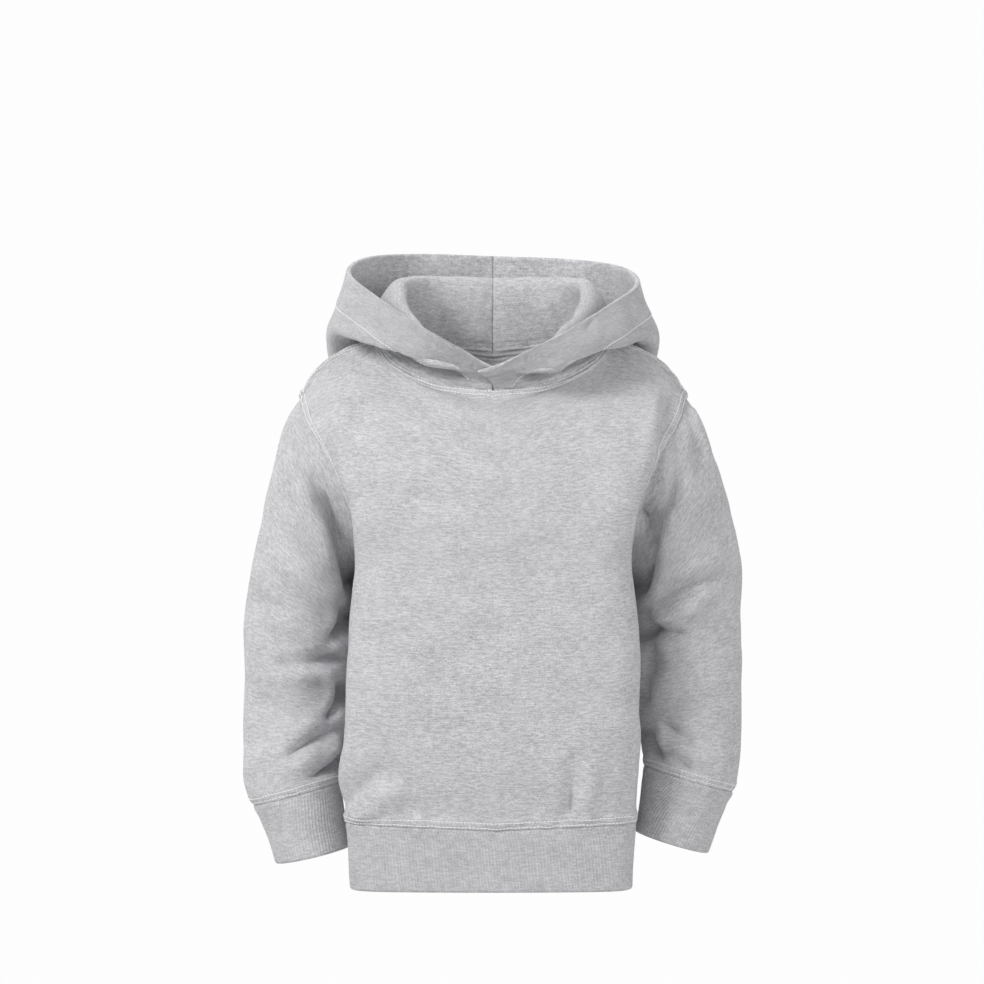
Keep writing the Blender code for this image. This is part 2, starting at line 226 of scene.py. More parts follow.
# Half sections from the waist seam up to the yoke. Fullness squares the corner.
FRONT = (
    Section(87, -8, -322, 106, 102, -88, -321, -90, -325, 3.0),
    Section(88, -8, -298, 114, 104, -92, -297, -94, -300, 3.0),
    Section(88, -8, -271, 109, 107, -94, -271, -96, -274, 3.2),
    Section(88, -8, -244, 106, 103, -95, -244, -97, -246, 3.4),
    Section(88, -8, -216, 104, 106, -95, -216, -97, -218, 3.4),
    Section(88, -8, -190, 101, 103, -94, -190, -96, -192, 3.4),
    Section(87, -8, -168, 99, 100, -93, -170, -95, -172, 3.4),
    Section(85, -9, -149, 97, 98, -91, -153, -94, -155, 3.4),
    Section(86, -34, -138, 97, 99, -90, -137, -93, -139, 3.2),
    Section(90, -51, -121, 97, 101, -88, -121, -92, -124, 3.0),
    Section(96, -58, -104, 98, 103, -86, -103, -90, -109, 2.8),
    Section(104, -57, -87, 100, 105, -81, -83, -87, -94, 2.4),
    Section(113, -51, -73, 104, 108, -72, -62, -83, -80, 2.0),
    Section(122, -39, -60, 106, 109, -57, -40, -77, -66, 1.7),
    Section(128, -20, -47, 106, 108, -32, -18, -70, -51, 1.4),
)
BACK = (
    Section(87, -8, -322, 93, 93, 72, -323, 76, -324, 2.6),
    Section(88, -8, -298, 95, 95, 76, -298, 80, -299, 2.6),
    Section(88, -8, -271, 95, 95, 78, -271, 82, -272, 2.6),
    Section(88, -8, -244, 94, 94, 78, -244, 82, -245, 2.6),
    Section(88, -8, -216, 94, 94, 77, -216, 81, -217, 2.6),
    Section(88, -8, -190, 93, 94, 76, -190, 80, -190, 2.4),
    Section(87, -8, -168, 93, 94, 75, -170, 79, -169, 2.2),
    Section(85, -9, -149, 94, 95, 74, -153, 78, -150, 2.0),
    Section(87, 18, -138, 95, 96, 73, -136, 77, -133, 2.0),
    Section(93, 37, -121, 98, 99, 71, -119, 76, -116, 2.0),
    Section(101, 47, -102, 101, 102, 68, -101, 75, -98, 2.2),
    Section(109, 48, -84, 104, 104, 63, -82, 73, -80, 2.0),
    Section(117, 42, -68, 106, 106, 55, -62, 70, -62, 1.8),
    Section(124, 31, -55, 107, 107, 43, -41, 65, -44, 1.6),
    Section(128, 17, -45, 106, 106, 26, -18, 59, -26, 1.4),
)
# Rings of the sleeves below the armhole, and the open ends of the cuffs.
SLEEVE_LEFT = (
    Ring(139, -54, 92, -158, -3, 53),
    Ring(146, -76, 94, -167, -2, 53),
    Ring(152, -100, 94.5, -178, 0, 51),
    Ring(158, -130, 94, -190, 2, 49),
    Ring(164, -160, 93.5, -205, 4, 47),
    Ring(168, -190, 93.5, -222, 4, 45),
    Ring(168.5, -222, 94, -241, 3, 43),
    Ring(168.5, -253, 96, -261, -2, 41),
    Ring(168.5, -281, 101, -278, -10, 38),
    Ring(167, -301, 104, -290, -18, 34),
    Ring(160, -313, 104, -298, -23, 29),
)
SLEEVE_RIGHT = (
    Ring(140, -52, 92, -158, -3, 53),
    Ring(148, -73, 94, -166, -2, 53),
    Ring(156, -97, 94.5, -176, 0, 51),
    Ring(163, -126, 94, -188, 2, 49),
    Ring(168, -155, 95, -201, 4, 47),
    Ring(168.5, -184, 94, -217, 4, 45),
    Ring(168.5, -214, 94, -235, 3, 43),
    Ring(168, -243, 96, -254, -2, 41),
    Ring(167, -271, 100, -270, -10, 38),
    Ring(165, -292, 103, -281, -18, 34),
    Ring(160, -304, 103, -287, -23, 29),
)
SLEEVES = {Side.LEFT: SLEEVE_LEFT, Side.RIGHT: SLEEVE_RIGHT}
CUFFS = {Side.LEFT: Ring(144.5, -352, 97, -341, -31, 26), Side.RIGHT: Ring(143, -345, 96.5, -331, -31, 26)}
# The hood, open on the shoulders.
HOOD = (
    Station(-14, -16, -60, -31, -16, -63, -28, -17, -65, -25, 0.5, 0.5),
    Station(0, 0, -63, -30, 0, -66, -26, 0, -68, -21, 0.5, 0.5),
    Station(14, 16, -61, -28, 16, -65, -23, 17, -66, -11, 0.8, 0.8),
    Station(30, 34, -53, -8, 42, -72, -18, 42, -65, 2, 4.0, 5.0),
    Station(60, 57, -26, 18, 79, -48, -6, 77, -38, 25, 8.0, 12.0),
    Station(90, 64, 6, 39, 103, 3, 0, 98, 2, 43, 13.0, 21.0),
    Station(120, 55, 36, 45, 98, 62, -38, 88, 54, 57, 16.0, 25.0),
    Station(150, 31, 54, 46, 62, 104, -84, 52, 90, 63, 17.0, 28.0),
    Station(180, 0, 61, 46, 0, 119, -100, 0, 103, 64, 17.0, 30.0),
)
# The largest folds of the sleeves, in shares round and down.
SLEEVE_FOLDS = (
    Fold(0.10, 0.03, 0.25, 0.11, -11.0, 12),
    Fold(0.14, 0.56, 0.36, 0.54, -4.0, 10),
    Fold(0.16, 0.66, 0.36, 0.72, -3.5, 10),
    Fold(0.66, 0.50, 0.90, 0.58, -4.0, 12),
)
# Creases as seen square on from the front and from behind, in millimetres.
SLEEVE_LEFT_CREASES = (
    Crease(-116, -97, -91, -176, -8.0, 4.4, 1.5, 0.8),
    Crease(-126, -99, -110, -153, 2.2, 8, 2),
    Crease(-109, -202, -94, -186, -11.0, 5.0, 0, 0.45),
    Crease(-109, -208, -98, -202, 2.5, 5, 0),
    Crease(-148, -218, -97, -212, -5.2, 4.2, -2),
    Crease(-143, -226, -102, -222, 2.4, 5.5, 0),
    Crease(-161, -178, -141, -180, -2.2, 5, 1),
    Crease(-110, -253, -96, -236, -12.0, 5.0, 0, 0.45),
    Crease(-140, -280, -98, -260, -5.4, 4.2, 1.5),
    Crease(-134, -288, -104, -276, 2.6, 5, 0),
    Crease(-105, -288, -96, -271, -8.0, 4.5, 0, 0.4),
    Crease(-121, -293, -101, -284, -5.5, 3.4, 0, 0.5),
    Crease(-159, -243, -126, -251, -1.8, 6, 1),
    Crease(-155, -122, -126, -149, -1.4, 8, 1),
    Crease(-163, -267, -145, -272, -1.3, 5, 0),
    Crease(-149, -189, -117, -198, 1.2, 7, 0),
)
SLEEVE_RIGHT_CREASES = (
    Crease(132, -43, 145, -89, 2.4, 3.0, 2),
    Crease(128, -48, 139, -91, -2.0, 4, 2),
    Crease(112, -66, 102, -130, -9.0, 4.0, -1, 0.5),
    Crease(108, -130, 97, -173, -12.0, 4.6, 0, 0.4),
    Crease(100, -182, 161, -156, -5.6, 6.5, 2),
    Crease(105, -188, 137, -182, 3.2, 4.5, 1),
    Crease(128, -198, 98, -196, -8.0, 5.5, 0, 0.6),
    Crease(130, -174, 157, -169, 2.0, 5, 0),
    Crease(107, -204, 100, -247, -7.5, 5.2, 0, 0.1),
    Crease(139, -212, 165, -202, -1.8, 6, 0),
    Crease(113, -283, 101, -264, -9.0, 4.6, 0, 0.3),
    Crease(114, -257, 133, -270, -3.6, 3.6, 0),
    Crease(114, -275, 133, -288, -3.2, 3.4, 0),
    Crease(139, -243, 163, -251, -1.6, 5, 1),
    Crease(112, -236, 143, -230, 1.6, 6, 0),
    Crease(120, -109, 149, -135, -1.3, 8, 1),
)
FRONT_CREASES = (
    Crease(-102, -314, -69, -284, -4.6, 7.5, 2),
    Crease(-92, -321, -62, -297, 2.0, 7, 0),
    Crease(53, -274, 50, -317, -3.4, 5.5, 0),
    Crease(65, -283, 62, -317, 1.8, 6, 0),
    Crease(-62, -106, -14, -104, -1.3, 5, -2),
    Crease(109, -25, 97, -118, 3.0, 4.5, 3),
    Crease(117, -38, 104, -95, -4.0, 5, 2),
    Crease(-103, -43, -92, -109, 1.6, 6, -2),
    Crease(-92, -56, -79, -122, -1.5, 9, 0),
    Crease(83, -174, 70, -240, -0.9, 12, 0),
    Crease(-48, -200, -15, -259, -0.7, 14, 0),
    Crease(5, -174, 18, -233, 0.6, 14, 0),
    Crease(-61, -305, -41, -319, -1.0, 5, 0),
    Crease(-15, -309, -12, -322, -0.8, 4, 0),
    Crease(24, -313, 23, -323, -0.8, 4, 0),
)
BACK_CREASES = (
    Crease(-88, -312, -52, -278, -4.4, 7, 2),
    Crease(-80, -318, -48, -294, 1.8, 7, 0),
    Crease(76, -316, 50, -270, -3.8, 7, -2),
    Crease(84, -300, 66, -266, 1.8, 7, 0),
    Crease(-30, -316, -24, -280, -2.4, 6, 1),
    Crease(14, -320, 19, -292, -1.8, 5, 0),
    Crease(-98, -112, -56, -158, -3.6, 8, 3),
    Crease(-92, -132, -62, -172, 1.5, 8, 2),
    Crease(100, -108, 56, -160, -3.8, 8, -3),
    Crease(-54, -186, -18, -240, -1.6, 11, 1),
    Crease(46, -196, 28, -256, -1.8, 10, -1),
    Crease(-84, -206, -54, -234, -2.8, 6, 1),
    Crease(84, -222, 50, -244, -2.4, 6, 0),
)
SLEEVE_LEFT_BACK = (
    Crease(-100, -156, -122, -112, -5.5, 8, 2),
    Crease(-114, -150, -134, -116, 2.0, 8, 2),
    Crease(-100, -208, -158, -194, -5.6, 5.5, -3),
    Crease(-104, -220, -150, -210, 2.6, 5.5, 0),
    Crease(-106, -236, -160, -248, -4.4, 5.5, 3),
    Crease(-116, -268, -158, -260, -3.6, 4.5, 0),
    Crease(-112, -288, -148, -297, -3.4, 3.8, 0),
)
SLEEVE_RIGHT_BACK = (
    Crease(100, -152, 124, -108, -5.4, 8, -2),
    Crease(114, -146, 136, -112, 2.0, 8, -2),
    Crease(100, -198, 158, -182, -5.4, 5.5, 3),
    Crease(104, -210, 150, -198, 2.4, 5.5, 0),
    Crease(104, -228, 162, -242, -4.6, 5.5, -3),
    Crease(118, -258, 160, -250, -3.4, 4.5, 0),
    Crease(110, -276, 144, -289, -3.4, 3.8, 0),
)
HOOD_LEFT_CREASES = (
    Crease(-103, -8, -60, -12, -2.6, 5, -2),
    Crease(-62, -12, -18, -20, -1.2, 4.5, 1),
    Crease(-62, 36, -48, 20, -2.2, 4, 0),
    Crease(-92, 24, -74, 8, -1.2, 6, 1),
    Crease(-98, 8, -72, -2, 1.2, 6, 0),
)
HOOD_RIGHT_CREASES = (
    Crease(6, -30, 44, -20, -1.2, 4.5, 1),
    Crease(44, -20, 98, -6, -2.6, 5, 2),
    Crease(52, 16, 56, 6, 2.0, 3.5, 0),
    Crease(60, 20, 63, 4, -2.4, 4, 0),
    Crease(86, 30, 96, 6, -1.3, 5, 1),
    Crease(70, 22, 40, 2, -1.0, 6, 0),
)
HOOD_BACK_CREASES = (
    Crease(-88, 6, -30, -62, -4.2, 8, 6),
    Crease(-78, 12, -24, -44, 1.8, 9, 6),
    Crease(90, 10, 34, -58, -4.6, 8, -6),
    Crease(80, 16, 30, -36, 1.8, 9, -5),
    Crease(-44, 24, -60, -14, -2.0, 7, 2),
    Crease(36, 30, 52, -12, -1.8, 8, -2),
    Crease(-26, -66, 20, -78, -2.6, 6, 2),
    Crease(-12, 10, -8, -40, -1.2, 10, 0),
)
SLEEVE_CREASES = {
    Side.LEFT: (SLEEVE_LEFT_CREASES, SLEEVE_LEFT_BACK),
    Side.RIGHT: (SLEEVE_RIGHT_CREASES, SLEEVE_RIGHT_BACK),
}
HOOD_CREASES = {
    Side.LEFT: (HOOD_LEFT_CREASES, HOOD_BACK_CREASES),
    Side.RIGHT: (HOOD_RIGHT_CREASES, HOOD_BACK_CREASES),
}

# The cloth each piece is cut from: width and length of the surface laid flat, in metres, and
# the surface's area. The ribs are straight strips, stretched round.
CUTS = {
    "front": ((0.336, 0.355), 0.0984),
    "back": ((0.312, 0.352), 0.0964),
    "sleeve_left": ((0.275, 0.274), 0.0603),
    "sleeve_right": ((0.278, 0.263), 0.0583),
    "cuff_left": ((0.170, 0.044), 0.0072),
    "cuff_right": ((0.172, 0.045), 0.0075),
    "waistband": ((0.625, 0.044), 0.0270),
    "hood_left": ((0.193, 0.326), 0.0558),
    "hood_right": ((0.198, 0.326), 0.0553),
}



# ---------------------------------------------------------------------------------------------
# Reading the tables
# ---------------------------------------------------------------------------------------------


def smooth(knots: np.ndarray, values: np.ndarray, at: np.ndarray) -> np.ndarray:
    """Reads rows of values on a curve that passes through every row.

    Args:
        knots: the place of each row, rising.
        values: one row of numbers, or of points, for each knot.
        at: the places to read.

    Returns:
        The values at those places.
    """
    knots = np.asarray(knots, float)
    values = np.asarray(values, float)
    slopes = np.gradient(values, knots, axis=0)
    at = np.clip(at, knots[0], knots[-1])
    row = np.clip(np.searchsorted(knots, at, side="right") - 1, 0, len(knots) - 2)
    span = knots[row + 1] - knots[row]
    t = (at - knots[row]) / span
    shape = t.shape + (1,) * (values.ndim - 1)
    t, span = t.reshape(shape), span.reshape(shape)
    start = (2 * t**3 - 3 * t**2 + 1) * values[row] + (t**3 - 2 * t**2 + t) * span * slopes[row]
    end = (3 * t**2 - 2 * t**3) * values[row + 1] + (t**3 - t**2) * span * slopes[row + 1]
    return start + end


def named(rows: tuple) -> dict[str, np.ndarray]:
    """Turns a table of named tuples into a dictionary of columns."""
    return dict(zip(rows[0]._fields, np.array(rows, float).T))


def normals_of(grid: np.ndarray, closed: bool) -> np.ndarray:
    """Finds the outward direction at each point of a grid.

    Args:
        grid: points, across by along.
        closed: whether the grid closes round on itself across.

    Returns:
        One unit vector for each point.
    """
    if closed:
        wrapped = np.concatenate([grid[-1:], grid, grid[:1]])
        across = np.gradient(wrapped, axis=0)[1:-1]
    else:
        across = np.gradient(grid, axis=0)
    normal = np.cross(across, np.gradient(grid, axis=1))
    return normal / np.maximum(np.linalg.norm(normal, axis=2, keepdims=True), 1e-9)


def relaxed(grid: np.ndarray, rounds: int, closed: bool) -> np.ndarray:
    """Evens a grid out inside its edges, which stay.

    Args:
        grid: points, across by along.
        rounds: how many times each point moves towards its neighbours.
        closed: whether the grid closes round on itself across.

    Returns:
        The evened grid.
    """
    for _ in range(rounds):
        grid = grid.copy()
        grid[:, 1:-1] = (grid[:, :-2] + 2 * grid[:, 1:-1] + grid[:, 2:]) / 4
        if closed:
            inner = grid[:, 1:-1]
            grid[:, 1:-1] = (np.roll(inner, 1, 0) + 2 * inner + np.roll(inner, -1, 0)) / 4
        else:
            grid[1:-1, 1:-1] = (grid[:-2, 1:-1] + 2 * grid[1:-1, 1:-1] + grid[2:, 1:-1]) / 4
    return grid


def resampled(grid: np.ndarray, columns: np.ndarray, rows: np.ndarray, closed: bool) -> np.ndarray:
    """Reads a dense grid at chosen shares of the distance across and along.

    Args:
        grid: the dense grid, even along.
        columns: the shares across.
        rows: the shares along.
        closed: whether the grid closes round on itself across.

    Returns:
        The grid at those shares.
    """
    if closed:
        grid = np.concatenate([grid, grid[:1]])
    run = lengths(grid, 0)
    even = np.linspace(0, 1, len(grid))
    evened = np.empty_like(grid)
    for row in range(grid.shape[1]):
        for axis in range(3):
            evened[:, row, axis] = np.interp(even * run[-1, row], run[:, row], grid[:, row, axis])
    evened = smooth(even, evened, columns)
    return smooth(np.linspace(0, 1, grid.shape[1]), evened.transpose(1, 0, 2), rows).transpose(1, 0, 2)


def lengths(grid: np.ndarray, axis: int) -> np.ndarray:
    """The distance run along one axis of a grid, from its first point."""
    steps = np.linalg.norm(np.diff(grid, axis=axis), axis=2)
    pad = [(0, 0), (0, 0)]
    pad[axis] = (1, 0)
    return np.pad(np.cumsum(steps, axis=axis), pad)


def ripple(points: np.ndarray, pitch: float, seed: int) -> np.ndarray:
    """An uneven field between about -1 and 1, smooth over a pitch.

    Args:
        points: where to read it, with xyz in the last axis.
        pitch: the size of its swells, in millimetres.
        seed: the number that its waves are drawn from.

    Returns:
        One value for each point.
    """
    draw = np.random.default_rng(seed)
    total = np.zeros(points.shape[:-1])
    for _ in range(RIPPLE_WAVES):
        wave = draw.normal(size=3)
        wave *= 2 * np.pi / pitch / np.linalg.norm(wave) * draw.uniform(0.6, 1.5)
        total += np.sin(points @ wave + draw.uniform(0, 2 * np.pi))
    return total / math.sqrt(RIPPLE_WAVES)


# ---------------------------------------------------------------------------------------------
# The form of the garment
# ---------------------------------------------------------------------------------------------


class Form:
    """The garment's surfaces, each read at shares across and along a piece."""

    @staticmethod
    def neckline(angle: np.ndarray) -> np.ndarray:
        """Points of the neckline at angles in degrees from the centre front."""
        table = named(NECKLINE)
        values = np.stack([table[k] for k in "xyz"], axis=1)
        points = smooth(table["angle"], values, np.abs(angle))
        points[..., 0] *= np.where(angle < 0, -1, 1)
        return points

    @classmethod
    def top_edge(cls, s: np.ndarray, back: bool) -> np.ndarray:
        """The neckline and shoulder seams of the front or back, from -1 to 1 across."""
        across = np.abs(s)
        angle = 90 * np.clip(across / NECK_SHARE, 0, 1)
        points = cls.neckline(180 - angle if back else angle)
        shoulder = np.clip((across - NECK_SHARE) / (1 - NECK_SHARE), 0, 1)
        seam = smooth(np.linspace(0, 1, len(SHOULDER)), SHOULDER, shoulder)
        points = np.where((across > NECK_SHARE)[:, None], seam, points)
        points[:, 0] = np.abs(points[:, 0]) * np.where(s < 0, -1, 1)
        return points

    @classmethod
    def sections(cls, s: np.ndarray, v: np.ndarray, back: bool) -> np.ndarray:
        """The front or back at each place across and up, before its side seams are shared."""
        table = named(BACK if back else FRONT)
        side = np.where(s < 0, -1, 1)[:, None]
        t = (np.abs(s) ** CORNER_POWER)[:, None]
        corner_x = np.where(side < 0, table["left"], table["right"])
        middle, corner, edge = (1 - t) ** 2, 2 * t * (1 - t) * table["fullness"], t**2
        total = middle + corner + edge
        x = (corner * corner_x + edge * table["edge_x"]) / total * side
        y, z = (
            (middle * table["mid_" + k] + corner * table["corner_" + k] + edge * table["edge_" + k])
            / total
            for k in "yz"
        )
        rows = np.stack([x, y, z], axis=2).transpose(1, 0, 2)
        rows = np.concatenate([rows, cls.top_edge(s, back)[None]])
        return smooth(np.linspace(0, 1, len(rows)), rows, v).transpose(1, 0, 2)

    @classmethod
    def body(cls, s: np.ndarray, v: np.ndarray, back: bool = False) -> np.ndarray:
        """The front or back, with both drawn onto one side seam below the armpits."""
        points = cls.sections(s, v, back)
        ends = np.where(s < 0, -1.0, 1.0)
        own, other = cls.sections(ends, v, back), cls.sections(ends, v, not back)
        near = (np.abs(s) ** SEAM_POWER)[:, None, None] * (v < ARMPIT)[None, :, None]
        return points + (other - own) / 2 * near

    @classmethod
    def armhole(cls, side: Side, turn: np.ndarray) -> np.ndarray:
        """The armhole from the armpit (0) by the front to the shoulder (0.5) and back (1)."""
        edge = np.array([float(side.value)])
        rise = 1 - ARMPIT
        front = cls.body(edge, ARMPIT + rise * np.clip(2 * turn, 0, 1))[0]
        back = cls.body(edge, ARMPIT + rise * np.clip(2 - 2 * turn, 0, 1), back=True)[0]
        return np.where((turn <= 0.5)[:, None], front, back)

    @staticmethod
    def ring(side: Side, row: Ring, turn: np.ndarray) -> np.ndarray:
        """One ring of a sleeve or cuff, read round from its inner point by the front."""
        outward = (1 - np.cos(2 * np.pi * turn)) / 2
        x = row.in_x + (row.out_x - row.in_x) * outward
        y = row.mid_y - row.half_depth * np.sin(2 * np.pi * turn)
        z = row.in_z + (row.out_z - row.in_z) * outward
        return np.stack([side.value * x, y, z], axis=1)

    @classmethod
    def sleeve(cls, side: Side, turn: np.ndarray, w: np.ndarray) -> np.ndarray:
        """A sleeve round and down, from the armhole to the cuff's seam."""
        rings = [cls.armhole(side, turn)]
        rings += [cls.ring(side, row, turn) for row in SLEEVES[side]]
        return smooth(np.linspace(0, 1, len(rings)), np.stack(rings), w).transpose(1, 0, 2)

    @classmethod
    def cuff(cls, side: Side, turn: np.ndarray, w: np.ndarray) -> np.ndarray:
        """A cuff, from the sleeve's last ring down to its open end."""
        top = cls.ring(side, SLEEVES[side][-1], turn)
        bottom = cls.ring(side, CUFFS[side], turn)
        middle = bottom + (top - bottom) * 0.45
        centre = middle.mean(axis=0)
        middle = centre + (middle - centre) * CUFF_PULL
        return smooth([0, 0.55, 1], np.stack([top, middle, bottom]), w).transpose(1, 0, 2)

    @classmethod
    def waistband(cls, s: np.ndarray, v: np.ndarray) -> np.ndarray:
        """The waistband as one ring, from the hem (0) to its seam (1)."""
        level = np.array([0.0])
        front = cls.body(s, level)[:, 0]
        back = cls.body(-s[1:-1], level, back=True)[:, 0]
        top = np.concatenate([front, back])
        hem = top * (HEM_PULL, HEM_PULL, 0) + (0, 0, HEM_Z)
        middle = (top + hem) / 2 + (hem - top) * (0.1, 0.1, 0)
        return smooth([0, 0.5, 1], np.stack([hem, middle, top]), v).transpose(1, 0, 2)

    @classmethod
    def hood(cls, side: Side, angle: np.ndarray, w: np.ndarray) -> np.ndarray:
        """Half of the hood, at angles round the neck and from the seam (0) to the rim (1)."""
        crossing = np.clip((w - OVERLAP_START) / (1 - OVERLAP_START), 0, 1)[None, :]
        near_front = np.clip(1 - angle / OVERLAP_ANGLES[1], 0, 1)[:, None]
        angle = angle[:, None] - OVERLAP_ANGLES[0] * crossing * near_front
        table = named(HOOD)
        values = np.stack([table[k] for k in Station._fields[1:]], axis=1)
        at = smooth(table["angle"], values, angle)
        roll, bag, rim = at[..., 0:3], at[..., 3:6], at[..., 6:9]
        seam = cls.neckline(angle)
        turn = np.radians(angle)
        outward = np.stack([np.sin(turn), -np.cos(turn), np.zeros_like(turn)], axis=2)
        lean, rise = (rim - bag) * 0.4, (roll - seam) * 0.4
        over, under = outward * at[..., 9:10], outward * at[..., 10:11]
        curves = (
            (seam, seam + rise, roll - over, roll),
            (roll, roll + over, bag - under, bag),
            (bag, bag + under, rim - lean, rim),
        )
        points = np.zeros_like(seam)
        for (a, b, c, d), low, high in zip(curves, HOOD_SHARES[:-1], HOOD_SHARES[1:]):
            t = np.clip((w - low) / (high - low), 0, 1)[None, :, None]
            read = (1 - t) ** 3 * a + 3 * t * (1 - t) ** 2 * b + 3 * t**2 * (1 - t) * c + t**3 * d
            points = np.where((w >= low)[None, :, None], read, points)
        if side is Side.RIGHT:
            near = np.clip((OVERLAP_ANGLES[1] - angle) / np.ptp(OVERLAP_ANGLES), 0, 1)
            lift = near**2 * (3 - 2 * near) * np.interp(w, *OVERLAP_LIFT)[None, :]
            points += outward * lift[:, :, None]
        points[..., 0] *= side.value
        points[..., 2] -= HOOD_LEAN * points[..., 0] * w[None, :]
        return points


# ---------------------------------------------------------------------------------------------
# Finishes
# ---------------------------------------------------------------------------------------------


@dataclass(frozen=True)
class Finish:
    """How one cloth or thread looks.

    Attributes:
        name: the material's name.
        light: colour of its pale fibres.
        dark: colour of its dark fibres.
        streak: how strongly the marl's slubs show, from 0 to 1.
        roughness: roughness of the fibres.
        sheen: strength of the nap's sheen.
        knit: height of the knitted loops, in metres.
        rib: pitch of the ribs in metres, or 0 for plain knit.
        rib_height: height of the ribs, in metres.
    """

    name: str
    light: tuple[float, float, float]
    dark: tuple[float, float, float]
    streak: float
    roughness: float
    sheen: float
    knit: float
    rib: float = 0.0
    rib_height: float = 0.0


HEATHER = Finish("heather_sweatshirt", (0.79, 0.79, 0.81), (0.29, 0.29, 0.31), 1.0, 0.93, 0.2, 0.00016)
RIB_KNIT = Finish(
    "heather_rib", (0.78, 0.78, 0.80), (0.29, 0.29, 0.31), 0.9, 0.93, 0.18, 0.00012, 0.0021, 0.00016
)
THREAD = Finish("grey_thread", (0.93, 0.93, 0.94), (0.72, 0.72, 0.73), 0.4, 0.6, 0.1, 0.0)
FINISHES = {Cloth.SWEATSHIRT: HEATHER, Cloth.RIB: RIB_KNIT}


class Group:
    """A node group under construction, with short ways to add and join its nodes."""

    def __init__(self, name: str, inputs: dict[str, str], outputs: dict[str, str]) -> None:
        """Starts an empty group.

        Args:
            name: the group's name.
            inputs: the socket type of each input, by label.
            outputs: the socket type of each output, by label.
        """
        self.tree = bpy.data.node_groups.new(name, "ShaderNodeTree")
        for label, kind in inputs.items():
            self.tree.interface.new_socket(label, in_out="INPUT", socket_type=kind)
        for label, kind in outputs.items():
            self.tree.interface.new_socket(label, in_out="OUTPUT", socket_type=kind)
        self.inputs = self.tree.nodes.new("NodeGroupInput").outputs
        self.outputs = self.tree.nodes.new("NodeGroupOutput").inputs

    def feed(self, socket: bpy.types.NodeSocket, value: object) -> None:
        """Joins a socket to another, or sets its constant."""
        if isinstance(value, bpy.types.NodeSocket):
            self.tree.links.new(value, socket)
        else:
            socket.default_value = value

    def math(self, operation: str, *values: object) -> bpy.types.NodeSocket:
        """A Math node on up to three values."""
        node = self.tree.nodes.new("ShaderNodeMath")
        node.operation = operation
        for socket, value in zip(node.inputs, values):
            self.feed(socket, value)
        return node.outputs[0]

    def stretched(self, vector: object, scale: tuple[float, float, float]) -> bpy.types.NodeSocket:
        """A vector scaled along each of its axes."""
        node = self.tree.nodes.new("ShaderNodeVectorMath")
        node.operation = "MULTIPLY"
        self.feed(node.inputs[0], vector)
        node.inputs[1].default_value = scale
        return node.outputs[0]

    def noise(self, vector: object, detail: float, rough: float = 0.5) -> bpy.types.NodeSocket:
        """A noise texture of pitch one, from 0 to 1."""
        node = self.tree.nodes.new("ShaderNodeTexNoise")
        node.inputs["Scale"].default_value = 1.0
        node.inputs["Detail"].default_value = detail
        node.inputs["Roughness"].default_value = rough
        self.feed(node.inputs["Vector"], vector)
        return node.outputs[0]

    def ranged(self, value: object, low: float, high: float, to: tuple) -> bpy.types.NodeSocket:
        """A value mapped smoothly from one range to another."""
        node = self.tree.nodes.new("ShaderNodeMapRange")
        node.interpolation_type = "SMOOTHSTEP"
        self.feed(node.inputs["Value"], value)
        node.inputs["From Min"].default_value = low
        node.inputs["From Max"].default_value = high
        node.inputs["To Min"].default_value = to[0]
        node.inputs["To Max"].default_value = to[1]
        return node.outputs[0]


def marl_group() -> bpy.types.NodeTree:
    """Builds the marl of mixed pale and dark fibres, which lie as slubs along the courses.

    Returns:
        A group that turns a flat place in metres and two colours into a colour and a height.
    """
    colour, number, vector = "NodeSocketColor", "NodeSocketFloat", "NodeSocketVector"
    group = Group(
        "Marl",
        {"Place": vector, "Light": colour, "Dark": colour, "Streak": number},
        {"Color": colour, "Height": number},
    )
    place = group.inputs["Place"]
    slubs = group.noise(group.stretched(place, (180, 640, 1)), 3.0, 0.66)
    threads = group.noise(group.stretched(place, (620, 1350, 1)), 2.0, 0.65)
    flecks = group.noise(group.stretched(place, (260, 1300, 2)), 1.0)
    clouds = group.noise(group.stretched(place, (34, 62, 1)), 3.0, 0.6)
    pale = group.math("MULTIPLY", group.ranged(slubs, 0.36, 0.66, (-0.5, 0.5)), 0.34)
    fine = group.math("MULTIPLY", group.ranged(threads, 0.34, 0.68, (-0.5, 0.5)), 0.34)
    soft = group.math("MULTIPLY", group.ranged(clouds, 0.3, 0.7, (-0.5, 0.5)), 0.15)
    rare = group.ranged(flecks, 0.64, 0.76, (0.0, -0.32))
    total = group.math("ADD", group.math("ADD", pale, fine), group.math("ADD", soft, rare))
    mixed = group.math("MULTIPLY_ADD", total, group.inputs["Streak"], 0.66)
    mix = group.tree.nodes.new("ShaderNodeMix")
    mix.data_type = "RGBA"
    group.feed(mix.inputs["Factor"], mixed)
    group.feed(mix.inputs["A"], group.inputs["Dark"])
    group.feed(mix.inputs["B"], group.inputs["Light"])
    group.tree.links.new(mix.outputs["Result"], group.outputs["Color"])
    group.tree.links.new(threads, group.outputs["Height"])
    return group.tree


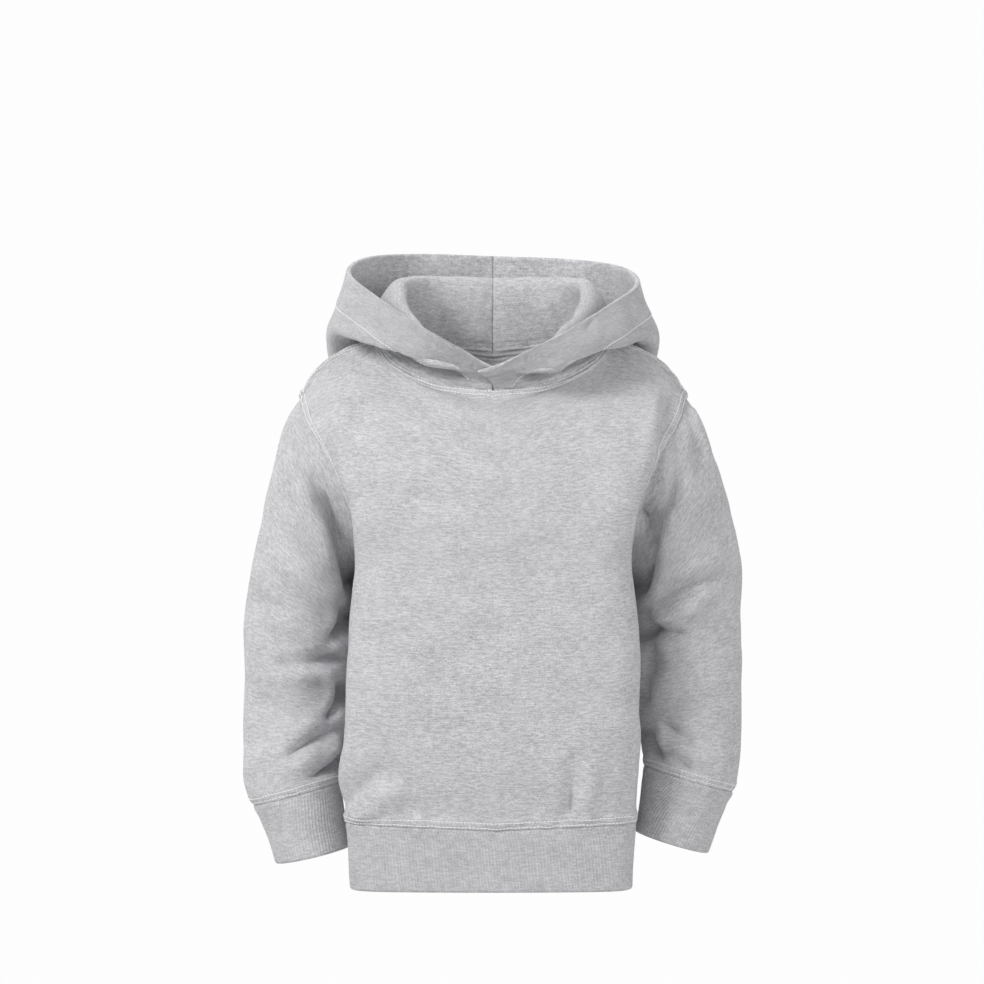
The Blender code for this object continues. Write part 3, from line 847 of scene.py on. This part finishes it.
def knit_group() -> bpy.types.NodeTree:
    """Builds the fine columns of V-shaped loops and the ribs.

    Returns:
        A group that turns a flat place in metres into the height of the loops, the height of
        the ribs, and painted shade that darkens the furrows between the ribs.
    """
    number, vector = "NodeSocketFloat", "NodeSocketVector"
    group = Group(
        "Knit",
        {"Place": vector, "Rib pitch": number, "Rib share": number},
        {"Loops": number, "Ribs": number, "Shade": number},
    )
    split = group.tree.nodes.new("ShaderNodeSeparateXYZ")
    group.feed(split.inputs[0], group.inputs["Place"])
    column = group.math("FRACT", group.math("DIVIDE", split.outputs["X"], KNIT_COLUMN))
    slant = group.math("MULTIPLY", group.math("ABSOLUTE", group.math("SUBTRACT", column, 0.5)), 2.0)
    wander = group.noise(group.stretched(group.inputs["Place"], (300, 300, 1)), 1.0)
    course = group.math("DIVIDE", split.outputs["Y"], KNIT_COURSE)
    course = group.math("ADD", course, group.math("MULTIPLY", slant, 0.55))
    course = group.math("ADD", course, group.math("MULTIPLY", wander, 0.8))
    loop = group.math("MULTIPLY_ADD", group.math("SINE", group.math("MULTIPLY", course, 2 * np.pi)), 0.5, 0.5)
    valley = group.math("SUBTRACT", 1.0, group.math("POWER", slant, 5.0))
    group.tree.links.new(group.math("MULTIPLY", loop, valley), group.outputs["Loops"])
    turn = group.math("DIVIDE", split.outputs["X"], group.inputs["Rib pitch"])
    wave = group.math("COSINE", group.math("MULTIPLY", turn, 2 * np.pi))
    crown = group.math("SMOOTH_MAX", wave, -0.55, 0.35)
    rib = group.math("MULTIPLY", crown, group.inputs["Rib share"])
    group.tree.links.new(rib, group.outputs["Ribs"])
    # Painted shade: the furrows between the ribs are darkened in colour, where real shade would fall.
    painted_furrow_shade = group.math("MULTIPLY", group.ranged(wave, -1.0, 0.2, (1.0, 0.0)), group.inputs["Rib share"])
    group.tree.links.new(painted_furrow_shade, group.outputs["Shade"])
    return group.tree


class Cloths:
    """The materials of the garment, each made once from its finish."""

    def __init__(self) -> None:
        """Makes the node groups that the materials share."""
        self.marl = marl_group()
        self.knit = knit_group()
        self.made: dict[str, bpy.types.Material] = {}

    def get(self, finish: Finish) -> bpy.types.Material:
        """The material of a finish."""
        if finish.name not in self.made:
            self.made[finish.name] = self.build(finish)
        return self.made[finish.name]

    def build(self, finish: Finish) -> bpy.types.Material:
        """Builds a cloth: its marl colour, its ribs, loops and nap as bump, and its sheen.

        Args:
            finish: the numbers of the cloth.

        Returns:
            The new material.
        """
        material = bpy.data.materials.new(finish.name)
        material.use_nodes = True
        tree = material.node_tree
        shader = tree.nodes["Principled BSDF"]
        place = tree.nodes.new("ShaderNodeUVMap")
        place.uv_map = "Cloth"
        marl = tree.nodes.new("ShaderNodeGroup")
        marl.node_tree = self.marl
        marl.inputs["Light"].default_value = (*finish.light, 1)
        marl.inputs["Dark"].default_value = (*finish.dark, 1)
        marl.inputs["Streak"].default_value = finish.streak
        tree.links.new(place.outputs[0], marl.inputs["Place"])
        knit = tree.nodes.new("ShaderNodeGroup")
        knit.node_tree = self.knit
        knit.inputs["Rib pitch"].default_value = finish.rib or 1.0
        knit.inputs["Rib share"].default_value = 1.0 if finish.rib else 0.0
        tree.links.new(place.outputs[0], knit.inputs["Place"])
        # Painted shade: the rib furrows darken the marl colour by up to a tenth; plain knit has none.
        shade = tree.nodes.new("ShaderNodeMix")
        shade.data_type = "RGBA"
        shade.blend_type = "MULTIPLY"
        shade.inputs["B"].default_value = (0.90, 0.90, 0.90, 1)
        tree.links.new(knit.outputs["Shade"], shade.inputs["Factor"])
        tree.links.new(marl.outputs["Color"], shade.inputs["A"])
        tree.links.new(shade.outputs["Result"], shader.inputs["Base Color"])
        normal = None
        heights = (
            (knit.outputs["Ribs"], finish.rib_height),
            (knit.outputs["Loops"], finish.knit),
            (marl.outputs["Height"], finish.knit * 1.6),
        )
        for height, distance in heights:
            if not distance:
                continue
            bump = tree.nodes.new("ShaderNodeBump")
            bump.inputs["Strength"].default_value = 1.0
            bump.inputs["Distance"].default_value = distance
            tree.links.new(height, bump.inputs["Height"])
            if normal:
                tree.links.new(normal, bump.inputs["Normal"])
            normal = bump.outputs["Normal"]
        if normal:
            tree.links.new(normal, shader.inputs["Normal"])
        shader.inputs["Roughness"].default_value = finish.roughness
        shader.inputs["Specular IOR Level"].default_value = 0.18
        shader.inputs["Sheen Weight"].default_value = finish.sheen
        shader.inputs["Sheen Roughness"].default_value = 0.55
        shader.inputs["Sheen Tint"].default_value = (1, 1, 1, 1)
        return material


# ---------------------------------------------------------------------------------------------
# Shells
# ---------------------------------------------------------------------------------------------


def spread(count: int, near_start: float, near_end: float, length: float) -> np.ndarray:
    """Shares from 0 to 1, even in the middle and close together towards chosen ends.

    Args:
        count: how many even steps there are.
        near_start: how far the close steps reach from the start, in millimetres.
        near_end: the same for the end.
        length: the length that the shares cover, in millimetres.

    Returns:
        The shares, rising.
    """
    even = np.linspace(0, 1, count + 1)
    close = (EDGE_STEPS[EDGE_STEPS <= reach] / length for reach in (near_start, near_end))
    start, end = close
    every = np.concatenate([even, start, 1 - end])
    every = np.unique(np.round(every, 5))
    keep = np.concatenate([[True], np.diff(every) > 0.18 / length])
    keep[-1] = True
    return every[keep]


def crease_lift(points: np.ndarray, facing: np.ndarray, creases: tuple, seed: int) -> np.ndarray:
    """How far creases move a surface in or out.

    Args:
        points: the surface, in millimetres.
        facing: how squarely each point faces the side that the creases are on, from 0 to 1.
        creases: the table of creases.
        seed: the number that draws their unevenness.

    Returns:
        One distance for each point.
    """
    flat = points[..., ::2]
    moved = np.zeros(points.shape[:-1])
    for number, crease in enumerate(creases):
        start = np.array([crease.x0, crease.z0], float)
        run = np.array([crease.x1, crease.z1], float) - start
        length = np.linalg.norm(run)
        along = run / length
        beside = np.array([-along[1], along[0]])
        share = ((flat - start) @ along) / length
        off = (flat - start) @ beside - crease.bow * 4 * share * (1 - share)
        uneven = 1 + 0.28 * np.sin(share * 7.3 + number * 2.1 + seed)
        growth = 1 + crease.grow * (2 * np.clip(share, 0, 1) - 1)
        width = crease.width * (1 + 0.22 * np.sin(share * 4.9 + number * 1.3 + seed))
        width = np.maximum(width * growth, LEAST_CREASE)
        beyond = np.clip(np.abs(share - 0.5) - 0.36, 0, None) * length
        body = np.exp(-np.abs(off / width) ** CREASE_SHARPNESS)
        lip = -0.22 * np.exp(-(((np.abs(off) - 1.9 * width) / width) ** 2))
        depth = crease.depth * uneven * growth
        moved += depth * (body + lip) * np.exp(-((beyond / crease.width) ** 2))
    return moved * facing


@dataclass
class Shell:
    """A thin wall of cloth on one surface of the form.

    Attributes:
        name: the name of the CAD node that it stands for.
        grid: the middle of the cloth, across by along, in millimetres.
        cloth: which cloth it is cut from.
        flat: width and length of the cloth that it is cut from, in metres; not used.
        area: area of the cut, in square metres; not used.
        thickness: how thick the cloth is, in millimetres.
        closed: whether the grid closes round on itself.
        seams: the edges that are sewn to other pieces ("first", "last", "low", "high").
        stitched: the edges that carry twin rows of stitches.
        creases: tables of creases on the front and on the back.
        hem: whether the high edge is turned and stitched down.
        seed: the number that draws its unevenness.
        seam_share: the share of a side edge, from the hem, that carries no stitches.
    """

    name: str
    grid: np.ndarray
    cloth: Cloth
    flat: tuple[float, float]
    area: float
    thickness: float = BODY_CLOTH
    closed: bool = False
    seams: tuple[str, ...] = ()
    stitched: tuple[str, ...] = ()
    creases: tuple[tuple, tuple] = ((), ())
    hem: bool = False
    seed: int = 1
    seam_share: float = 0.0
    outer: np.ndarray = field(init=False)
    inner: np.ndarray = field(init=False)
    normals: np.ndarray = field(init=False)

    def __post_init__(self) -> None:
        """Shapes both faces of the cloth at once."""
        self.shape_cloth()

    def distance_from(self, edge: str) -> np.ndarray:
        """Distance of each point from one edge, in millimetres."""
        axis = 0 if edge in ("first", "last") else 1
        run = lengths(self.grid, axis)
        if edge == "first" or edge == "low":
            return run
        return np.take(run, [-1], axis=axis) - run

    def along_seam(self, edge: str) -> np.ndarray:
        """Where an edge is really sewn with stitches: the armholes stop at the armpits."""
        if edge in ("first", "last"):
            share = np.linspace(0, 1, self.grid.shape[1])[None, :]
            return np.clip((share - self.seam_share) * 60, 0, 1)
        return np.ones((1, 1))

    def shape_cloth(self) -> None:
        """Works creases, soft unevenness, seam ditches and the wall into the grid."""
        normals = normals_of(self.grid, self.closed)
        fade = np.ones(self.grid.shape[:2])
        for edge in ("low", "high") if self.closed else ("first", "last", "low", "high"):
            away = self.distance_from(edge)
            fade *= 1 - np.exp(-((away / EDGE_FADE) ** 2))
        front, back = self.creases
        toward = np.clip(-normals[..., 1] * 1.6 + 0.35, 0, 1)
        away = np.clip(normals[..., 1] * 1.6 + 0.35, 0, 1)
        lift = crease_lift(self.grid, toward, front, self.seed)
        lift += crease_lift(self.grid, away, back, self.seed + 5)
        lift += 0.55 * ripple(self.grid, 58, self.seed) + 0.20 * ripple(self.grid, 21, self.seed + 9)
        if self.cloth is Cloth.RIB:
            lift *= 0.45
        lift *= fade
        for edge in self.seams:
            off = self.distance_from(edge)
            pucker = 0.5 * ripple(self.grid, 9, self.seed + 3) + 0.5 * ripple(self.grid, 15, self.seed + 4)
            lift += PUCKER * pucker * np.exp(-((off / 9) ** 2)) * (1 - np.exp(-((off / 1.5) ** 2)))
            if edge in self.stitched:
                sewn = self.along_seam(edge)
                ridge = 1.15 / (1 + np.exp((off - SEAM_ALLOWANCE) / 0.6)) * (1 - np.exp(-off / 0.8))
                grooves = sum(np.exp(-(((off - row) / 0.7) ** 2)) for row in STITCH_ROWS)
                lift += sewn * (ridge - 0.55 * grooves)
        if self.hem:
            off = self.distance_from("high")
            lift -= 0.35 * np.exp(-(((off - HOOD_HEM) / 1.1) ** 2))
        self.grid = self.grid + normals * lift[..., None]
        self.normals = normals_of(self.grid, self.closed)
        half = np.full(self.grid.shape[:2], self.thickness / 2)
        if self.hem:
            off = self.distance_from("high")
            half += (HOOD_HEM_CLOTH - self.thickness) / 2 / (1 + np.exp((off - HOOD_HEM) / 0.9))
        rounding = np.ones(self.grid.shape[:2])
        edges = ("low", "high") if self.closed else ("first", "last", "low", "high")
        for edge in edges:
            off = self.distance_from(edge)
            reach = 1.7 if edge in self.seams else self.thickness * 0.62
            share = np.clip(1 - off / reach, 0, 1)
            rounding = np.minimum(rounding, np.sqrt(np.clip(1 - share**2, 0.004, 1)))
        half = half * rounding
        self.outer = self.grid + self.normals * half[..., None]
        self.inner = self.grid - self.normals * half[..., None]

    def flat_places(self) -> np.ndarray:
        """Where each point lies on the flat cloth, in metres."""
        across = lengths(self.grid, 0)
        if not self.closed:
            across = across - across[self.grid.shape[0] // 2][None, :]
        along = lengths(self.grid, 1).mean(axis=0)[None, :] + np.zeros_like(across)
        return np.stack([across, along], axis=2) * MM

    def build(self, cloths: Cloths) -> bpy.types.Object:
        """Makes the piece: two faces and the rims that close them.

        Args:
            cloths: the materials.

        Returns:
            The finished object, declared to the frame.
        """
        count_u, count_v = self.grid.shape[:2]
        inner = count_u * count_v
        points = np.concatenate([self.outer.reshape(-1, 3), self.inner.reshape(-1, 3)]) * MM
        u = np.arange(count_u if self.closed else count_u - 1)
        v = np.arange(count_v - 1)
        u, v = (axis.ravel() for axis in np.meshgrid(u, v, indexing="ij"))
        after = (u + 1) % count_u

        def corner(a: np.ndarray, b: np.ndarray) -> np.ndarray:
            """Index of the point at row a and column b."""
            return a * count_v + b

        outside = np.stack([corner(u, v), corner(after, v), corner(after, v + 1), corner(u, v + 1)], 1)
        quads = [outside, outside[:, ::-1] + inner]
        u = np.arange(count_u if self.closed else count_u - 1)
        after = (u + 1) % count_u
        for level, turned in ((0, False), (count_v - 1, True)):
            a, b = corner(u, level), corner(after, level)
            a, b = (b, a) if turned else (a, b)
            quads.append(np.stack([a, a + inner, b + inner, b], 1))
        if not self.closed:
            v = np.arange(count_v - 1)
            for column, turned in ((0, True), (count_u - 1, False)):
                a, b = corner(column, v), corner(column, v + 1)
                a, b = (b, a) if turned else (a, b)
                quads.append(np.stack([a, a + inner, b + inner, b], 1))
        faces = np.concatenate(quads)
        mesh = bpy.data.meshes.new(self.name)
        mesh.from_pydata(points.tolist(), [], faces.tolist())
        flat = np.tile(self.flat_places().reshape(-1, 2), (2, 1))[faces]
        if self.closed:
            wrap = lengths(np.concatenate([self.grid, self.grid[:1]]), 0)[-1].mean() * MM
            far = np.ptp(flat[..., 0], axis=1) > wrap / 2
            flat[..., 0] += np.where(far[:, None] & (flat[..., 0] < wrap / 2), wrap, 0)
        layer = mesh.uv_layers.new(name="Cloth")
        layer.data.foreach_set("uv", flat.reshape(-1).astype(np.float32))
        mesh.shade_smooth()
        mesh.materials.append(cloths.get(FINISHES[self.cloth]))
        piece = bpy.data.objects.new(self.name + "_cloth", mesh)
        bpy.context.collection.objects.link(piece)
        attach(piece, BODY)
        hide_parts(self.name)
        LOG.info("%s: %d faces", piece.name, len(faces))
        return piece

    def seam_line(self, edge: str, distance: float) -> tuple[np.ndarray, np.ndarray]:
        """The line on the outer face that runs at a distance from an edge.

        Args:
            edge: the edge that it runs beside.
            distance: how far in it lies, in millimetres.

        Returns:
            Its points and the outward directions there.
        """
        off = self.distance_from(edge)
        faces, normals = self.outer, self.normals
        if edge in ("first", "last"):
            off, faces, normals = off.T, faces.transpose(1, 0, 2), normals.transpose(1, 0, 2)
            begin = int(self.seam_share * len(off))
            off, faces, normals = off[begin:], faces[begin:], normals[begin:]
        if edge in ("high", "last"):
            off, faces, normals = off[:, ::-1], faces[:, ::-1], normals[:, ::-1]
        line = np.stack(
            [[np.interp(distance, off[i], faces[i, :, k]) for k in range(3)] for i in range(len(off))]
        )
        out = np.stack(
            [[np.interp(distance, off[i], normals[i, :, k]) for k in range(3)] for i in range(len(off))]
        )
        if self.closed and edge in ("low", "high"):
            line, out = np.concatenate([line, line[:1]]), np.concatenate([out, out[:1]])
        return line, out


def stitch_shape() -> tuple[np.ndarray, np.ndarray]:
    """One stitch of length one and radius one along x: its points and its four-sided faces."""
    rings, sides = 6, 6
    share = np.linspace(0, 1, rings)
    radius = np.sqrt(np.clip(1 - (2 * share - 1) ** 4, 0.05, 1))
    turn = np.linspace(0, 2 * np.pi, sides, endpoint=False)
    x = np.repeat(share - 0.5, sides)
    y = (radius[:, None] * np.cos(turn)).ravel()
    z = (radius[:, None] * np.sin(turn)).ravel()
    faces = [
        (r * sides + k, (r + 1) * sides + k, (r + 1) * sides + (k + 1) % sides, r * sides + (k + 1) % sides)
        for r in range(rings - 1)
        for k in range(sides)
    ]
    return np.stack([x, y, z], axis=1), np.array(faces)


def sew(name: str, lines: list, cloths: Cloths) -> bpy.types.Object:
    """Makes rows of real stitches, one short bead of thread after another.

    Args:
        name: the new object's name.
        lines: pairs of a line's points and its outward directions, in millimetres.
        cloths: the materials.

    Returns:
        The finished object, declared to the frame.
    """
    shape, quads = stitch_shape()
    places, faces = [], []
    for line, out in lines:
        run = np.concatenate([[0], np.cumsum(np.linalg.norm(np.diff(line, axis=0), axis=1))])
        at = np.arange(STITCH_PITCH / 2, run[-1], STITCH_PITCH)

        def read(values: np.ndarray, where: np.ndarray) -> np.ndarray:
            """Values at the given distances along the line."""
            return np.stack([np.interp(where, run, values[:, k]) for k in range(3)], axis=1)

        middle, up = read(line, at), read(out, at)
        along = read(line, at + 0.8) - read(line, at - 0.8)
        along /= np.maximum(np.linalg.norm(along, axis=1, keepdims=True), 1e-9)
        side = np.cross(up, along)
        side /= np.maximum(np.linalg.norm(side, axis=1, keepdims=True), 1e-9)
        up = np.cross(along, side)
        for centre, a, b, c in zip(middle + up * STITCH_LIFT, along, side, up):
            faces.append(quads + len(places) * len(shape))
            places.append(
                centre
                + shape[:, :1] * a * STITCH_LENGTH
                + shape[:, 1:2] * b * STITCH_RADIUS
                + shape[:, 2:] * c * STITCH_RADIUS * 0.8
            )
    mesh = bpy.data.meshes.new(name)
    mesh.from_pydata((np.concatenate(places) * MM).tolist(), [], np.concatenate(faces).tolist())
    flat = np.concatenate(places)[np.concatenate(faces)][..., ::2] * MM
    mesh.uv_layers.new(name="Cloth").data.foreach_set("uv", flat.reshape(-1).astype(np.float32))
    mesh.shade_smooth()
    mesh.materials.append(cloths.get(THREAD))
    piece = bpy.data.objects.new(name, mesh)
    bpy.context.collection.objects.link(piece)
    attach(piece, BODY)
    LOG.info("%s: %d stitches", name, len(places))
    return piece


# ---------------------------------------------------------------------------------------------
# Sub-assemblies
# ---------------------------------------------------------------------------------------------


@dataclass
class Torso:
    """The front, the back and the waistband."""

    cloths: Cloths
    shells: list[Shell] = field(default_factory=list)

    def build(self) -> None:
        """Cuts and sews the three pieces."""
        dense = np.linspace(-1, 1, 3 * DENSE)
        rise = np.linspace(0, 1, DENSE)
        columns = spread(TORSO_COLUMNS, 7, 7, 360)
        v = spread(TORSO_ROWS, 7, 7, 330)
        sewn = {"seams": ("first", "last", "low", "high"), "stitched": ("first", "last", "low", "high")}
        for name, across, back, creases, seed in (
            ("front", dense, False, (FRONT_CREASES, ()), 11),
            ("back", -dense, True, ((), BACK_CREASES), 12),
        ):
            grid = resampled(Form.body(across, rise, back), EVEN, rise, closed=False)
            grid = resampled(relaxed(grid, 40, closed=False), columns, v, closed=False)
            shell = Shell(
                name, grid, Cloth.SWEATSHIRT, *CUTS[name], creases=creases, seed=seed,
                seam_share=np.searchsorted(v, ARMPIT) / len(v), **sewn,
            )
            piece = shell.build(self.cloths)
            lines = [shell.seam_line(edge, row) for edge in sewn["stitched"] for row in STITCH_ROWS]
            sew("stitches_" + name, lines, self.cloths)
            self.shells.append(shell)
        around = np.arange(WAIST_COLUMNS) / WAIST_COLUMNS
        band = Form.waistband(dense, np.linspace(0, 1, 25))
        band = resampled(band, around, spread(WAIST_ROWS, 4, 4, 48), closed=True)
        shell = Shell(
            "waistband", band, Cloth.RIB, *CUTS["waistband"], thickness=RIB_CLOTH, closed=True,
            seams=("high",), seed=13,
        )
        piece = shell.build(self.cloths)
        self.shells.append(shell)


@dataclass
class Arm:
    """A sleeve and its cuff."""

    side: Side
    cloths: Cloths

    def build(self) -> None:
        """Cuts and sews the two pieces."""
        dense = np.arange(DENSE) / DENSE
        down = np.linspace(0, 1, DENSE)
        turn = np.arange(SLEEVE_COLUMNS) / SLEEVE_COLUMNS
        grid = Form.sleeve(self.side, dense, down)
        folds = big_folds(grid, dense, down, SLEEVE_FOLDS) * -self.side.value
        grid = relaxed(grid + normals_of(grid, True) * folds[..., None], 30, closed=True)
        grid = resampled(grid, turn, spread(SLEEVE_ROWS, 4, 7, 250), closed=True)
        cuff = Form.cuff(self.side, dense, np.linspace(0, 1, 25))
        cuff = resampled(cuff, turn, spread(CUFF_ROWS, 4, 4, 52), closed=True)
        if self.side is Side.RIGHT:
            grid, cuff = grid[::-1], cuff[::-1]
        label = self.side.label
        sleeve = Shell(
            "sleeve_" + label, grid, Cloth.SWEATSHIRT, *CUTS["sleeve_" + label], closed=True,
            seams=("low", "high"), stitched=("high",), creases=SLEEVE_CREASES[self.side],
            seed=20 + self.side.value,
        )
        piece = sleeve.build(self.cloths)
        lines = [sleeve.seam_line("high", row) for row in STITCH_ROWS]
        sew("stitches_sleeve_" + label, lines, self.cloths)
        band = Shell(
            "cuff_" + label, cuff, Cloth.RIB, *CUTS["cuff_" + label], thickness=RIB_CLOTH,
            closed=True, seams=("low",), seed=30 + self.side.value,
        )
        piece = band.build(self.cloths)


@dataclass
class Hood:
    """The two halves of the hood."""

    cloths: Cloths

    def build(self) -> None:
        """Cuts and sews the two halves, with the hem of the opening."""
        columns = spread(HOOD_COLUMNS, 3, 5, 220)
        rows = spread(HOOD_ROWS, 7, 4, 260)
        rise = np.linspace(0, 1, DENSE)
        for side in Side:
            grid = Form.hood(side, 180 * rise, rise)
            grid = resampled(relaxed(grid, 30, closed=False), columns, rows, closed=False)
            grid = grid[::-1] if side is Side.LEFT else grid
            shell = Shell(
                "hood_" + side.label, grid, Cloth.SWEATSHIRT, *CUTS["hood_" + side.label],
                seams=("low", "first" if side is Side.LEFT else "last"), stitched=("low",),
                creases=HOOD_CREASES[side], hem=True, seed=40 + side.value,
            )
            piece = shell.build(self.cloths)
            lines = [shell.seam_line("high", HOOD_HEM)]
            sew("stitches_hood_" + side.label, lines, self.cloths)


def big_folds(grid: np.ndarray, across: np.ndarray, along: np.ndarray, folds: tuple) -> np.ndarray:
    """How far the largest folds, which the frame also has, move a sleeve.

    Args:
        grid: the sleeve, in millimetres.
        across: the share of each column.
        along: the share of each row.
        folds: the table of folds.

    Returns:
        One distance for each point.
    """
    across = across[:, None]
    along = along[None, :]
    width = lengths(grid, 0)[-1].mean()
    length = lengths(grid, 1)[:, -1].mean()
    moved = np.zeros(grid.shape[:2])
    for fold in folds:
        start = np.array([fold.across0 * width, fold.along0 * length])
        run = np.array([fold.across1 * width, fold.along1 * length]) - start
        place = np.stack(np.broadcast_arrays(across * width, along * length), axis=2) - start
        share = (place @ run) / (run @ run)
        beside = np.abs(place @ np.array([-run[1], run[0]])) / np.linalg.norm(run)
        beyond = np.clip(np.abs(share - 0.5) - 0.5, 0, None) * np.linalg.norm(run)
        moved += fold.depth * np.exp(-((beside / fold.width) ** 2) - (beyond / fold.width) ** 2)
    return moved * (1 - np.abs(2 * along - 1) ** EDGE_POWER)


# ---------------------------------------------------------------------------------------------
# Studio
# ---------------------------------------------------------------------------------------------


class Lamp(NamedTuple):
    """A soft box: its name, where it hangs and points, its size and its power."""

    name: str
    place: tuple[float, float, float]
    target: tuple[float, float, float]
    size: float
    power: float


def dim(tree: bpy.types.NodeTree, strength: bpy.types.NodeSocket, level: float) -> None:
    """Gives a light full strength to the camera and less to everything else.

    Args:
        tree: the node tree of the light.
        strength: the socket that sets its strength.
        level: the strength for all rays but the camera's.
    """
    path = tree.nodes.new("ShaderNodeLightPath")
    reach = tree.nodes.new("ShaderNodeMapRange")
    reach.inputs["To Min"].default_value = level
    reach.inputs["To Max"].default_value = 1.0
    tree.links.new(path.outputs["Is Camera Ray"], reach.inputs["Value"])
    tree.links.new(reach.outputs[0], strength)


@dataclass
class Studio:
    """A pale room with soft boxes, and the camera."""

    lamps: tuple[Lamp, ...] = (
        Lamp("key", (-1.6, -1.45, 1.2), (0, 0, -0.2), 0.9, 40.0),
        Lamp("fill", (1.7, -1.7, 0.3), (0, 0, -0.2), 1.4, 16.0),
        Lamp("crown", (0.2, 1.4, 1.8), (0, 0, -0.1), 1.3, 16.0),
        Lamp("rim", (-1.6, 1.6, 0.5), (0, 0, -0.2), 1.3, 12.0),
    )

    def build(self) -> None:
        """Sets the world, floor, lamps and camera."""
        scene = bpy.context.scene
        scene.view_settings.view_transform = "Standard"
        world = bpy.data.worlds.new("pale")
        world.use_nodes = True
        scene.world = world
        tree = world.node_tree
        sky = tree.nodes["Background"]
        sky.inputs["Color"].default_value = (0.985, 0.985, 0.985, 1)
        dim(tree, sky.inputs["Strength"], WORLD_LIGHT)
        self.floor()
        for lamp in self.lamps:
            data = bpy.data.lights.new(lamp.name, "AREA")
            data.size = lamp.size
            data.energy = lamp.power
            box = bpy.data.objects.new(lamp.name, data)
            box.location = lamp.place
            aim = Vector(lamp.target) - Vector(lamp.place)
            box.rotation_euler = aim.to_track_quat("-Z", "Y").to_euler()
            bpy.context.collection.objects.link(box)
        data = bpy.data.cameras.new("camera")
        data.lens = 134.5
        data.sensor_width = 36.0
        camera = bpy.data.objects.new("camera", data)
        camera.location = (-0.0007, -2.5, -0.103)
        camera.rotation_euler = (math.pi / 2, 0, 0)
        bpy.context.collection.objects.link(camera)
        scene.camera = camera

    @staticmethod
    def floor() -> None:
        """Lays a wide pale floor under the garment."""
        half = 60.0
        mesh = bpy.data.meshes.new("floor")
        corners = [(half * x, half * y, FLOOR_Z) for x, y in ((-1, -1), (1, -1), (1, 1), (-1, 1))]
        mesh.from_pydata(corners, [], [(0, 1, 2, 3)])
        material = bpy.data.materials.new("pale_floor")
        material.use_nodes = True
        tree = material.node_tree
        tree.nodes.remove(tree.nodes["Principled BSDF"])
        glow = tree.nodes.new("ShaderNodeEmission")
        glow.inputs["Color"].default_value = (0.985, 0.985, 0.985, 1)
        dim(tree, glow.inputs["Strength"], FLOOR_LIGHT)
        tree.links.new(glow.outputs[0], tree.nodes["Material Output"].inputs["Surface"])
        mesh.materials.append(material)
        floor = bpy.data.objects.new("floor", mesh)
        bpy.context.collection.objects.link(floor)


def main() -> None:
    """Builds the garment and the studio."""
    logging.basicConfig(level=logging.INFO, format="%(message)s")
    cloths = Cloths()
    Torso(cloths).build()
    for side in Side:
        Arm(side, cloths).build()
    Hood(cloths).build()
    Studio().build()


if __name__ == "__main__":
    main()
